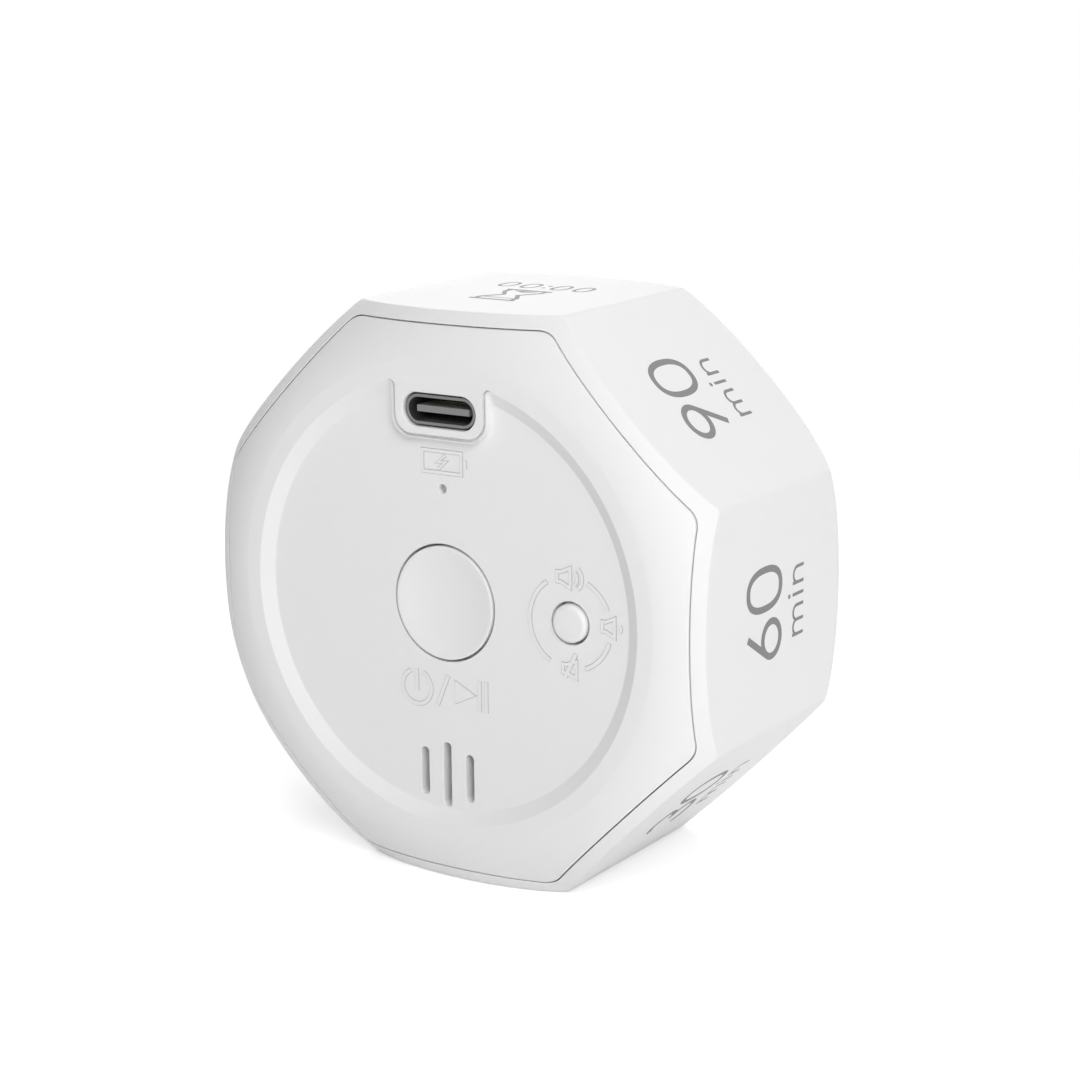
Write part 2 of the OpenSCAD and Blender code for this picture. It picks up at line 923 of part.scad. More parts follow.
module main_socket() {
    color("ivory")
        from_back()
            across(socket_w)
                translate([socket_mouth_y, main_front_z - socket_h])
                    socket_section();
}

module ribbon_cable() {
    end_l = ribbon_lead_in + socket_grip;
    color("lightsteelblue")
        from_back()
            across(ribbon_w) {
                translate([loop_y, loop_z])
                    difference() {
                        circle(loop_r + ribbon_t / 2);
                        circle(loop_r - ribbon_t / 2);
                        translate([-2 * loop_r, -2 * loop_r])
                            square([2 * loop_r, 4 * loop_r]);
                    }
                for (side = [-1, 1])
                    translate([loop_y - end_l, loop_z + side * loop_r - ribbon_t / 2])
                        square([end_l, ribbon_t]);
            }
}

module main_board() {
    color("darkgreen")
        from_back()
            difference() {
                raise(main_front_z)
                    cylinder(r = main_board_r, h = board_t);
                at_main_screws()
                    raise(main_front_z)
                        cylinder(r = screw_r + board_hole_play, h = board_t);
            }
}

module main_screws() {
    color("silver")
        from_back()
            at_main_screws()
                raise(main_front_z)
                    screw();
}

module usb_shell() {
    color("silver")
        from_back()
            translate([port_x, port_y, main_back_z])
                linear_extrude(port_l)
                    difference() {
                        stadium(port_w, port_h);
                        stadium(port_w - 2 * port_sheet, port_h - 2 * port_sheet);
                    }
}

module usb_tongue() {
    base_inset = port_sheet + port_base_play;
    color("dimgray")
        from_back()
            translate([port_x, port_y, main_back_z]) {
                linear_extrude(port_base_h)
                    stadium(port_w - 2 * base_inset, port_h - 2 * base_inset);
                block(tongue_w, tongue_t, tongue_tip_z - main_back_z);
            }
}

module usb_contacts() {
    color("gold")
        from_back()
            for (side = [-1, 1], contact = [0:contact_count - 1])
                translate([
                    port_x + (contact - (contact_count - 1) / 2) * contact_pitch,
                    port_y + side * (tongue_t + contact_t) / 2,
                    main_back_z + port_base_h
                ])
                    block(contact_w, contact_t, contact_l);
}

// Base of a switch, standing on the main board
module switch_base(side, plunger_r) {
    color("black")
        raise(main_back_z)
            difference() {
                block(side, side, switch_h);
                raise(switch_floor)
                    cylinder(r = plunger_r + plunger_play, h = switch_h);
            }
}

// Metal snap dome that pushes a plunger back, resting in the well of its base
module switch_dome(plunger_r, travel) {
    rise = travel + snap_t;
    arc_r = (pow(plunger_r, 2) + pow(rise, 2)) / (2 * rise);
    color("silver")
        raise(well_z)
            intersection() {
                cylinder(r = plunger_r, h = rise);
                raise(rise - arc_r)
                    difference() {
                        sphere(arc_r);
                        sphere(arc_r - snap_t);
                    }
            }
}

// Plunger of a switch, from just above its snap dome to the button's stem
module switch_plunger(plunger_r, travel) {
    foot_z = well_z + travel + snap_t + snap_clearance;
    color("ivory")
        raise(foot_z)
            cylinder(r = plunger_r, h = plunger_top_z - foot_z);
}

// Metal cover of a switch
module switch_cover(side, plunger_r) {
    color("silver")
        raise(main_back_z + switch_h)
            difference() {
                block(side, side, switch_plate);
                cylinder(r = plunger_r + plunger_play, h = switch_plate);
            }
}

module power_switch_base() {
    from_back()
        switch_base(power_switch_w, power_plunger_r);
}

module power_switch_dome() {
    from_back()
        switch_dome(power_plunger_r, power_travel);
}

module power_switch_plunger() {
    from_back()
        switch_plunger(power_plunger_r, power_travel);
}

module power_switch_cover() {
    from_back()
        switch_cover(power_switch_w, power_plunger_r);
}

module volume_switch_base() {
    from_back()
        translate([volume_x, 0])
            switch_base(volume_switch_w, volume_plunger_r);
}

module volume_switch_dome() {
    from_back()
        translate([volume_x, 0])
            switch_dome(volume_plunger_r, volume_travel);
}

module volume_switch_plunger() {
    from_back()
        translate([volume_x, 0])
            switch_plunger(volume_plunger_r, volume_travel);
}

module volume_switch_cover() {
    from_back()
        translate([volume_x, 0])
            switch_cover(volume_switch_w, volume_plunger_r);
}

module charge_led() {
    color("ivory")
        from_back()
            translate([0, light_y, main_back_z])
                block(led_w, led_l, led_h);
}

module light_pipe() {
    foot_z = main_back_z + led_h + pipe_gap;
    color("lightcyan")
        from_back()
            translate([0, light_y]) {
                raise(foot_z)
                    cylinder(r = pipe_r, h = disc_z - pipe_set_in - foot_z);
                raise(disc_in_z - collar_t)
                    cylinder(r = collar_r, h = collar_t);
            }
}

// Places children on the speaker's axis
module at_speaker(z) {
    translate([0, slot_y, z])
        children();
}

module speaker_frame() {
    color("dimgray")
        from_back()
            difference() {
                at_speaker(speaker_z)
                    cylinder(r = speaker_r, h = speaker_h);
                at_speaker(speaker_z)
                    cylinder(r = magnet_r + speaker_play, h = speaker_h);
                at_speaker(speaker_z + speaker_wall)
                    cylinder(r = speaker_r - 2 * speaker_wall, h = speaker_h);
                at_speaker(cone_z)
                    cylinder(r = speaker_r - speaker_wall, h = speaker_h);
            }
}

module speaker_magnet() {
    color("silver")
        from_back()
            at_speaker(speaker_z - yoke_t) {
                cylinder(r = magnet_r + speaker_wall, h = yoke_t);
                cylinder(r = magnet_r, h = magnet_h);
            }
}

// Cone on the frame's step: a flat edge, a sloped wall and a raised middle
module speaker_cone() {
    edge_r = speaker_r - speaker_wall - speaker_play;
    fold_r = edge_r - 2 * speaker_wall;
    cap_r = fold_r / 2;
    color("black")
        from_back()
            at_speaker(cone_z)
                rotate_extrude()
                    polygon([
                        [0, 0], [cap_r, -cone_t], [fold_r, 0], [edge_r, 0],
                        [edge_r, cone_t], [fold_r, cone_t], [cap_r, 0], [0, cone_t]
                    ]);
}

module speaker_gasket() {
    color("black")
        from_back()
            at_speaker(speaker_top_z)
                ring(speaker_r, speaker_r - 2 * speaker_wall, gasket_t);
}

module speaker_leads() {
    color("gold")
        from_back()
            for (side = [-1, 1])
                translate([side * (speaker_r - speaker_wall), slot_y, main_back_z])
                    cylinder(r = speaker_lead_r, h = speaker_z - main_back_z);
}

// Pouch with round sides and a sealed strip along its top, where the leads come out
module battery_cell() {
    color("silver")
        from_back() {
            translate([0, -battery_drop + battery_l / 2, battery_z])
                rotate([90, 0, 0])
                    linear_extrude(battery_l)
                        stadium(battery_w, battery_t);
            translate([0, battery_top_y + strip_l / 2, lead_z - strip_t / 2])
                block(battery_w - battery_t, strip_l, strip_t);
        }
}

module battery_tape() {
    color("black")
        from_back()
            translate([0, -battery_drop, main_front_z - tape_t])
                block(battery_w - 2 * tape_margin, battery_l - 2 * tape_margin, tape_t);
}

// Wire that rises along y from start_x, runs sideways at run_y and rises to the plug at end_x
module battery_lead(start_x, end_x, run_y) {
    bend = lead_bend_r;
    raise(lead_z) {
        translate([start_x, strip_top_y])
            rotate([-90, 0, 0])
                cylinder(r = lead_r, h = run_y - bend - strip_top_y);
        translate([start_x + bend, run_y - bend])
            rotate(90)
                rotate_extrude(angle = 90)
                    translate([bend, 0])
                        circle(lead_r);
        translate([start_x + bend, run_y])
            rotate([0, 90, 0])
                cylinder(r = lead_r, h = end_x - start_x - 2 * bend);
        translate([end_x - bend, run_y + bend])
            rotate(-90)
                rotate_extrude(angle = 90)
                    translate([bend, 0])
                        circle(lead_r);
        translate([end_x, run_y + bend])
            rotate([-90, 0, 0])
                cylinder(r = lead_r, h = plug_y - run_y - bend);
    }
}

module battery_lead_red() {
    color("red")
        from_back()
            battery_lead(-lead_start_x, plug_x - lead_pitch / 2, red_run_y);
}

module battery_lead_black() {
    color("black")
        from_back()
            battery_lead(2 * lead_pitch - lead_start_x, plug_x + lead_pitch / 2, black_run_y);
}

module battery_plug() {
    color("ivory")
        from_back()
            translate([plug_x, plug_y + plug_l / 2, lead_z - plug_h / 2])
                block(plug_w, plug_l, plug_h);
}

module battery_socket() {
    mouth_y = plug_y + plug_l - plug_grip;
    depth = plug_grip + plug_play + plug_wall;
    color("ivory")
        from_back()
            difference() {
                translate([plug_x, mouth_y + depth / 2, main_front_z - plug_socket_h])
                    block(plug_w + 2 * (plug_play + plug_wall), depth, plug_socket_h);
                translate([plug_x, mouth_y + (plug_grip + plug_play) / 2, lead_z - plug_h / 2 - plug_play])
                    block(plug_w + 2 * plug_play, plug_grip + plug_play, plug_h + 2 * plug_play);
            }
}

// Chip on the front of the main board
module main_chip(x, width) {
    color("black")
        from_back()
            translate([x, chip_row_y, main_front_z - chip_h])
                block(width, width, chip_h);
}

module motion_sensor() {
    main_chip(0, sensor_w);
}

module controller_chip() {
    main_chip(-controller_x, controller_w);
}

module charger_chip() {
    main_chip(charger_x, charger_w);
}

module passives() {
    color("tan")
        from_back()
            for (index = [0:passive_count - 1])
                translate([
                    (index - (passive_count - 1) / 2) * passive_pitch - controller_x,
                    passive_row_y,
                    main_front_z - passive_w
                ])
                    block(passive_w, passive_l, passive_w);
}

housing();
back_cover();
power_button();
volume_button();
display_lens();
lens_adhesive();
display_reflector();
display_segments();
segment_leds();
display_board();
display_driver();
display_screws();
display_socket();
ribbon_cable();
main_socket();
main_board();
main_screws();
usb_shell();
usb_tongue();
usb_contacts();
power_switch_base();
power_switch_dome();
power_switch_plunger();
power_switch_cover();
volume_switch_base();
volume_switch_dome();
volume_switch_plunger();
volume_switch_cover();
charge_led();
light_pipe();
speaker_frame();
speaker_magnet();
speaker_cone();
speaker_gasket();
speaker_leads();
battery_cell();
battery_tape();
battery_lead_red();
battery_lead_black();
battery_plug();
battery_socket();
motion_sensor();
controller_chip();
charger_chip();
passives();
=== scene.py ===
"""Looks of the flip timer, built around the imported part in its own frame, in metres.

Pieces are drawn as seen from the back, in millimetres from the centre of the octagon: x to the
right, y up and z out of the back. to_world() stands a drawing point in the part's frame.
"""
import json
import math

import bmesh
import bpy
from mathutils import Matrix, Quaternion, Vector

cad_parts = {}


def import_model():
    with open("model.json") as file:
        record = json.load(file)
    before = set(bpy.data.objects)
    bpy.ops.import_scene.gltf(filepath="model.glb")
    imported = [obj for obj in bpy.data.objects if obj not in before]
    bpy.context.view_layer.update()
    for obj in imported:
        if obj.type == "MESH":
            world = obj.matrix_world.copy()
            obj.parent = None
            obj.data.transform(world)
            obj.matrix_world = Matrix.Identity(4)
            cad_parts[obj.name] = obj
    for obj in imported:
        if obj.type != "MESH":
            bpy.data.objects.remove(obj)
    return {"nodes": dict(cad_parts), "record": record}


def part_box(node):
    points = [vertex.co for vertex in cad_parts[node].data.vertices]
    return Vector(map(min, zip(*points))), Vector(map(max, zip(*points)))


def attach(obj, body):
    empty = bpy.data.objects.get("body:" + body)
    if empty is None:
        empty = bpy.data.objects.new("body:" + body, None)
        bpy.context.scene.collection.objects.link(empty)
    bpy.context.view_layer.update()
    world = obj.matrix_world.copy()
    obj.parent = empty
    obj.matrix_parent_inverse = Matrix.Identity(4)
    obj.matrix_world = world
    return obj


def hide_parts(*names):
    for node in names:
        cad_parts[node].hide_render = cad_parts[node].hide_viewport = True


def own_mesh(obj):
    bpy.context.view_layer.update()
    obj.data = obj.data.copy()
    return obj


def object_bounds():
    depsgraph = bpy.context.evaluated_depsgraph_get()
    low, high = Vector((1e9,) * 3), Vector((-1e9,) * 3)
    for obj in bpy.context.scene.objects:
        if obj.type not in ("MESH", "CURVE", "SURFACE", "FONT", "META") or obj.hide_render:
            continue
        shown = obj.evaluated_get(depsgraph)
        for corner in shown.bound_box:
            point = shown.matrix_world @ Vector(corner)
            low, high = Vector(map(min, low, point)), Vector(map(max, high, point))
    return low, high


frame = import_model()
cad_low, cad_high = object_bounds()

# Overall sizes, from the frame
MM = 0.001
HALF_FLATS = (cad_high.z - cad_low.z) / 2 / MM
HALF_DEPTH = (cad_high.y - cad_low.y) / 2 / MM

# Octagon and domes
FACETS = 8
HALF_CORNER = 180 / FACETS
PRINT_T = 0.02
FACE_FLATS = HALF_FLATS - PRINT_T
FACET_EDGE_R = 1.0
DOME_R = 10.7
LEVEL_R = HALF_FLATS - 6.4
CREASE_R = HALF_FLATS - 5.15
DOME_Z = HALF_DEPTH - math.sqrt(DOME_R**2 - (CREASE_R - LEVEL_R)**2)
RIM_EDGE_R = 0.35
RIM_CORNER_R = 2.2
WALL = 2.4

# Seam and back cover
SEAM_FLATS = HALF_FLATS - 1.4
COVER_FLATS = SEAM_FLATS - 0.13
COVER_IN_FLATS = SEAM_FLATS - 2.0
SEAM_CORNER_R = 3.0
SEAM_EDGE_R = 0.1
SEAT_Z = 10.55
RECESS_R = HALF_FLATS - 6.85
FOOT_R = RECESS_R - 1.5
RECESS_DEPTH = 0.9
DISC_Z = HALF_DEPTH - RECESS_DEPTH
DISC_IN_Z = DISC_Z - 1.6
WALL_EASE = 0.05
HOLE_EDGE_R = 0.05

# Tab and charging port
PORT_X = 0.3
PORT_Y = FOOT_R - 2.1
PORT_W = 8.94
PORT_H = 3.26
PORT_PLAY = 0.2
PORT_SHEET = 0.35
PORT_LIP_R = 0.06
PORT_EDGE_R = 0.12
TONGUE_EDGE_R = 0.1
TONGUE_EDGE_STEPS = 3
TAB_HALF_W = 6.05
TAB_FOOT_Y = PORT_Y - 3.05
TAB_CORNER_R = 2.4
TAB_BLEND_R = 0.5
TAB_LIP_W = 0.1
TAB_GROOVE_W = 0.3
TAB_GROOVE = 0.45
TAB_EDGE_W = 0.06

# Buttons, light and speaker slots
POWER_R = 6.21
VOLUME_R = 2.06
BUTTON_PLAY = 0.28
FLANGE_W = 1.0
FLANGE_T = 0.9
FLANGE_Z = DISC_IN_Z - 1.0
DISH_DEPTH = 0.6
DISH_RIM_W = 0.3
POWER_EDGE_R = 0.08
POWER_STEM_R = 1.5
VOLUME_EDGE_R = 0.45
VOLUME_STEM_R = 0.9
VOLUME_X = FOOT_R - 7.1
LIGHT_Y = PORT_Y - 8.45
LIGHT_HOLE_R = 0.5
SLOT_LONG = 7.3
SLOT_SHORT = 5.4
SLOT_W = 1.05
SLOT_PITCH = 2.95
SLOT_MARGIN = 0.15
SLOT_Y = -(FOOT_R - SLOT_MARGIN - SLOT_LONG / 2)

# Inside
POST_R = 2.2
BORE_R = 0.83
POST_BORE = 4.4
MAIN_BACK_Z = 9.05
DISPLAY_FRONT_Z = -9.05
MAIN_SCREW_R = HALF_FLATS - 8.2
MAIN_SCREW_ANGLE = 29
DISPLAY_SCREW_R = HALF_FLATS - WALL - 3.6
SPEAKER_RING_R = 6.6
SPEAKER_RING_WALL = 0.9
SPEAKER_RING_H = 2.2
HOOK_W = 7.0
HOOK_T = 1.2
HOOK_L = 4.0
HOOK_NOSE = 0.6
HOOK_NOSE_H = 1.2
HOOK_OUT = HALF_FLATS - WALL - 0.15
FITTING_SINK = 0.05
SNAP_T = 0.08

# Display window
LENS_R = RECESS_R - 0.15
LENS_FACE_Z = -HALF_DEPTH + 0.3
LENS_T = 1.5
LENS_EDGE_R = 0.2
LEDGE_Z = LENS_FACE_Z + LENS_T + 0.2
LEDGE_T = 1.4
WINDOW_R = RECESS_R - 2.5

# Marks
PRINT_SINK = 0.05
LAYER_STEP = 0.0015
DIGIT_TOP = 6.4
DIGIT_FOOT = -1.4
DIGIT_STROKE = 0.75
DIGIT_MIDDLE = (DIGIT_TOP + DIGIT_FOOT) / 2
DIGIT_HALF_H = (DIGIT_TOP - DIGIT_FOOT - DIGIT_STROKE) / 2
DIGIT_HALF_W = 2.1
BOWL_R = 1.9
WORD_TOP = -3.8
WORD_FOOT = -6.25
WORD_STROKE = 0.36
CLOCK_TOP = -3.4
CLOCK_FOOT = -6.9
CLOCK_STROKE = 0.4
MARK_H = 0.1
MARK_CHAMFER = 0.12
MARK_STROKE = 0.4
THIN_STROKE = 0.8 * MARK_STROKE
BOLT_STROKE = 0.7 * MARK_STROKE
MITRE_LIMIT = 0.4
DOT_END = 330

# Fineness of the meshes
FACET_STEPS = 24
CROWDING = 2.2
DOME_STEPS = 14
EDGE_STEPS = 6
BLEND_STEPS = 10
RIM_STEPS = 4
CIRCLE_STEPS = 96
OVAL_STEPS = CIRCLE_STEPS // 2
SMALL_STEPS = CIRCLE_STEPS // 3
END_STEPS = CIRCLE_STEPS // 4
ARC_STEP = 6.0
SOFT_ANGLE = 35
MARK_SOFT_ANGLE = 25

# Camera, as far as the photograph gives it
CAMERA_AT = Vector((-152.87, 229.84, 100.38))
CAMERA_AIM = Vector((-1.77, 0, 35.25))
CAMERA_ROLL = -0.54
CAMERA_LENS = 84.9
CAMERA_SENSOR = 36
CAMERA_NEAR = 0.01

# Light, with each lamp's azimuth and elevation in degrees and its level
LAMPS = {"key": (222, 32, 0.58), "behind": (45, 20, 0.24), "top": (0, 58, 0.31), "low": (262, 3, 0.13)}
LAMP_DISTANCE = 0.55
LAMP_SIZE = 0.35
WORLD_LIGHT = 0.25
WORLD_SIDE = (-0.71, 0.71, 0)
WORLD_SIDE_LIGHT = 0.24
FLOOR_LIFT = 0.3
FLOOR_R = 3
FLOOR_STEPS = 64
FLOOR_DROP = 0.05
SHADOW_REACH = 0.1
WHITE_REACH = 0.25


def to_world(point):
    """Drawing point in millimetres to the part's frame in metres."""
    x, y, z = point
    return Vector((-x, z, HALF_FLATS + y)) * MM


def polar(radius, angle, z):
    """Drawing point at a distance from the axis and an angle in degrees."""
    turn = math.radians(angle)
    return (radius * math.cos(turn), radius * math.sin(turn), z)


def shares(count):
    """Steps from 0 to 1, both ends included."""
    return [step / count for step in range(count + 1)]


def mix(first, second, share):
    """Value at a share of the way between two values."""
    return first + (second - first) * share


def round_edge(radius):
    """Steps over a quarter round: a distance that falls from the radius to 0, and one that grows."""
    steps = []
    for share in shares(EDGE_STEPS):
        turn = math.radians(90 * share)
        steps.append((radius * (1 - math.sin(turn)), radius * (1 - math.cos(turn))))
    return steps


class Shell:
    """A closed mesh that is put together from rings of drawing points."""

    def __init__(self):
        self.mesh = bmesh.new()

    def ring(self, points):
        """Adds points and returns their vertices."""
        return [self.mesh.verts.new(to_world(point)) for point in points]

    def strip(self, first, second, closed=True, look_index=0):
        """Joins two rings of as many vertices with quads, or triangles where they share a vertex."""
        count = len(first)
        for i in range(count if closed else count - 1):
            j = (i + 1) % count
            corners = dict.fromkeys((first[i], first[j], second[j], second[i]))
            face = self.mesh.faces.new(tuple(corners))
            face.material_index = look_index

    def strips(self, rings):
        """Joins each ring to the next."""
        for first, second in zip(rings, rings[1:]):
            self.strip(first, second)

    def cap(self, *rings):
        """Fills the flat area inside the first ring and outside the others."""
        edges = []
        for ring in rings:
            for pair in zip(ring, ring[1:] + ring[:1]):
                edges.append(self.mesh.edges.get(pair) or self.mesh.edges.new(pair))
        bmesh.ops.triangle_fill(self.mesh, use_beauty=True, edges=edges)

    def lathe(self, profile, x=0, y=0, steps=CIRCLE_STEPS):
        """Turns a profile of (radius, z) points, from the axis to the axis, around a line along z."""
        rings = []
        for radius, z in profile:
            angles = [360 * step / steps for step in range(steps)] if radius > 0 else [0]
            around = [polar(radius, angle, z) for angle in angles]
            rings.append(self.ring([(x + px, y + py, pz) for px, py, pz in around]))
        for first, second in zip(rings, rings[1:]):
            if len(first) > 1 and len(second) > 1:
                self.strip(first, second)
            else:
                self.fan(first, second)

    def fan(self, first, second):
        """Joins a point on the axis to a ring."""
        pole, ring = (first[0], second) if len(first) == 1 else (second[0], first)
        for pair in zip(ring, ring[1:] + ring[:1]):
            self.mesh.faces.new((pole, *pair))

    def prism(self, outline, others):
        """Joins an outline to its copy further along, and closes both ends."""
        first = self.ring(outline)
        second = self.ring(others)
        self.strip(first, second)
        self.mesh.faces.new(first)
        self.mesh.faces.new(second)

    def piece(self, name, look, body, slot, sharp=SOFT_ANGLE):
        """Makes the object, with soft shading over edges flatter than sharp degrees."""
        bmesh.ops.recalc_face_normals(self.mesh, faces=self.mesh.faces)
        data = bpy.data.meshes.new(name)
        self.mesh.to_mesh(data)
        self.mesh.free()
        data.shade_smooth()
        data.set_sharp_from_angle(angle=math.radians(sharp))
        data.materials.append(look)
        made = bpy.data.objects.new(name, data)
        bpy.context.scene.collection.objects.link(made)
        weights = made.modifiers.new("weighted normals", "WEIGHTED_NORMAL")
        weights.keep_sharp = True
        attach(made, body)
        return made


# Rings around the octagon

def octagon_radius(apothem, corner_r, angle):
    """Distance from the centre to a rounded octagon's outline at an angle in degrees."""
    half = math.radians(HALF_CORNER)
    off = math.radians(abs((angle + HALF_CORNER) % (2 * HALF_CORNER) - HALF_CORNER))
    flat_end = math.atan((apothem - corner_r) * math.tan(half) / apothem)
    if off <= flat_end:
        return apothem / math.cos(off)
    centre = (apothem - corner_r) / math.cos(half)
    across = centre * math.sin(half - off)
    return centre * math.cos(half - off) + math.sqrt(corner_r**2 - across**2)


def ring_angles():
    """Angles of a ring's points, closer together near the octagon's corners."""
    angles = []
    for facet in range(FACETS):
        for step in range(-FACET_STEPS, FACET_STEPS):
            share = 1 - (1 - abs(step) / FACET_STEPS)**CROWDING
            angles.append(HALF_CORNER * (2 * facet + math.copysign(share, step)))
    return angles


ANGLES = ring_angles()


def dome_height(radius):
    """Height of the back dome at a distance from the axis."""
    if radius <= CREASE_R:
        return HALF_DEPTH
    return DOME_Z + math.sqrt(DOME_R**2 - (radius - LEVEL_R)**2)


def octagon_ring(apothem, corner_r, z):
    """Level ring along a rounded octagon."""
    return [polar(octagon_radius(apothem, corner_r, angle), angle, z) for angle in ANGLES]


def circle_ring(radius, z):
    """Level ring along a circle, with the octagon's angles."""
    return [polar(radius, angle, z) for angle in ANGLES]


def rim_edge(angle, share):
    """Radius and height on the round edge of a facet: share 0 on the facet, 1 on the dome."""
    corner_r = mix(FACET_EDGE_R, RIM_CORNER_R, share)
    centre_r = octagon_radius(FACE_FLATS, corner_r, angle) - RIM_EDGE_R
    rise = math.sqrt((DOME_R - RIM_EDGE_R)**2 - (centre_r - LEVEL_R)**2)
    turn = share * math.atan2(rise, centre_r - LEVEL_R)
    return centre_r + RIM_EDGE_R * math.cos(turn), DOME_Z + rise + RIM_EDGE_R * math.sin(turn)


def rim_edge_ring(share, side):
    """Ring on the round edge of the facets, at the back (side 1) or the front (side -1)."""
    points = []
    for angle in ANGLES:
        radius, height = rim_edge(angle, share)
        points.append(polar(radius, angle, side * height))
    return points


def lip_ring(apothem, drop, reach):
    """Ring on the round lip beside the seam: a drop below the dome, and a reach from the seam's wall."""
    points = []
    for angle in ANGLES:
        radius = octagon_radius(apothem, SEAM_CORNER_R, angle) + reach
        points.append(polar(radius, angle, dome_height(radius) - drop))
    return points


def dome_rings(outer_radius, inner_radius, side, count):
    """Rings on a dome between two outlines, without the first one."""
    rings = []
    for share in shares(count)[1:]:
        ring = []
        for angle in ANGLES:
            radius = mix(outer_radius(angle), inner_radius(angle), share)
            ring.append(polar(radius, angle, side * dome_height(radius)))
        rings.append(ring)
    return rings


def crease(_angle):
    """Radius at which a dome turns level."""
    return CREASE_R


# Outlines of openings, in x and y

def circle_outline(x, y, radius):
    """Points around a circle."""
    around = [polar(radius, 360 * step / CIRCLE_STEPS, 0) for step in range(CIRCLE_STEPS)]
    return [(x + px, y + py) for px, py, _ in around]


def stadium_outline(x, y, width, height, grow=0):
    """Points around a slot with round ends along its longer side, grown by a distance."""
    upright = height > width
    radius = min(width, height) / 2
    reach = abs(width - height) / 2
    points = []
    for end in (0, 180):
        for share in shares(END_STEPS):
            turn = math.radians(end - 90 + 180 * share)
            along = reach * math.cos(math.radians(end)) + (radius + grow) * math.cos(turn)
            aside = (radius + grow) * math.sin(turn)
            points.append((x - aside, y + along) if upright else (x + along, y + aside))
    return points


def arc(x, y, radius, start, end):
    """Points along an arc, ends included."""
    count = max(2, round(abs(end - start) / ARC_STEP))
    around = [polar(radius, mix(start, end, share), 0) for share in shares(count)]
    return [(x + px, y + py) for px, py, _ in around]


def tab_side(radius, side, inset):
    """Points down one side of the tab, from the recess's round wall to the tab's foot."""
    blend_x = PORT_X + side * (TAB_HALF_W + TAB_BLEND_R)
    blend_y = math.sqrt((radius - TAB_BLEND_R)**2 - blend_x**2)
    lean = math.degrees(math.atan2(blend_y, side * blend_x))
    points = []
    for share in shares(BLEND_STEPS):
        px, py, _ = polar(TAB_BLEND_R + inset * share, mix(lean, 180, share), 0)
        points.append((blend_x + side * px, blend_y + py))
    corner_x = PORT_X + side * (TAB_HALF_W - TAB_CORNER_R)
    for px, py in arc(0, TAB_FOOT_Y + TAB_CORNER_R, TAB_CORNER_R - inset, 0, -90):
        points.append((corner_x + side * px, py))
    return points


def recess_outline(share, inset=0):
    """Outline of the recess, first along the tab: share 0 at the wall's foot, 1 at its top."""
    radius = mix(FOOT_R, RECESS_R, share)
    right = tab_side(radius, 1, inset)
    left = tab_side(radius, -1, inset)
    start = math.degrees(math.atan2(left[0][1], left[0][0]))
    end = 360 + math.degrees(math.atan2(right[0][1], right[0][0]))
    wide = [polar(radius, mix(start, end, step), 0)[:2] for step in shares(2 * CIRCLE_STEPS)]
    return right + left[::-1] + wide[1:-1]


def groove_shares():
    """How deep the groove is at each point along the tab, as a share of its full depth."""
    side = shares(BLEND_STEPS) + [1] * len(arc(0, 0, TAB_CORNER_R, 0, -90))
    return side + side[::-1]


def recess_profile():
    """Shares and heights down the recess's wall, eased at its top and its foot."""
    profile = []
    for step in shares(EDGE_STEPS):
        profile.append((WALL_EASE * (2 * step - 1), RECESS_DEPTH * WALL_EASE * step**2))
    top = [(1 - share, RECESS_DEPTH - height) for share, height in profile]
    return top + profile[::-1]


def hole_rings(shell, outline_of, top_z, edge_r):
    """Rings from a hole's round edge down through the disc."""
    rings = []
    for grow, drop in round_edge(edge_r):
        rings.append(shell.ring([(x, y, top_z - drop) for x, y in outline_of(grow)]))
    rings.append(shell.ring([(x, y, DISC_IN_Z) for x, y in outline_of(0)]))
    shell.strips(rings)
    return rings[0], rings[-1]


# The pieces that show

def housing(look):
    """Octagonal cup: rim, facets, front dome, window opening, ledge and the room inside."""
    shell = Shell()
    inner = HALF_FLATS - WALL
    inside_z = LEDGE_Z + LEDGE_T
    rings = [octagon_ring(SEAM_FLATS, SEAM_CORNER_R, SEAT_Z)]
    rings += [lip_ring(SEAM_FLATS, drop, reach) for drop, reach in round_edge(SEAM_EDGE_R)]
    rings += dome_rings(lambda a: octagon_radius(SEAM_FLATS, SEAM_CORNER_R, a) + SEAM_EDGE_R,
                        lambda a: rim_edge(a, 1)[0], 1, RIM_STEPS)
    rings += [rim_edge_ring(1 - share, 1) for share in shares(EDGE_STEPS)[1:]]
    rings += [rim_edge_ring(share, -1) for share in shares(EDGE_STEPS)]
    rings += dome_rings(lambda a: rim_edge(a, 1)[0], crease, -1, DOME_STEPS)
    rings += [circle_ring(RECESS_R + grow, drop - HALF_DEPTH) for grow, drop in round_edge(LENS_EDGE_R)]
    rings += [circle_ring(RECESS_R, LEDGE_Z), circle_ring(WINDOW_R, LEDGE_Z)]
    rings += [circle_ring(WINDOW_R, inside_z), octagon_ring(inner, FACET_EDGE_R, inside_z)]
    rings += [octagon_ring(inner, FACET_EDGE_R, SEAT_Z)]
    made = [shell.ring(ring) for ring in rings]
    shell.strips(made + made[:1])
    for quarter in range(4):
        x, y, _ = polar(DISPLAY_SCREW_R, 90 * quarter + 45, 0)
        screw_post(shell, x, y, LEDGE_Z + LEDGE_T / 2, DISPLAY_FRONT_Z)
    piece = shell.piece("housing_shell", look, "timer_body", "white_plastic")
    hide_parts("housing")


def screw_post(shell, x, y, foot_z, end_z):
    """Post with a blind bore in its end."""
    bore_z = end_z + math.copysign(POST_BORE, foot_z - end_z)
    outside = [(0, foot_z), (POST_R, foot_z), (POST_R, end_z)]
    bore = [(BORE_R, end_z), (BORE_R, bore_z), (0, bore_z)]
    shell.lathe(outside + bore, x, y, SMALL_STEPS)


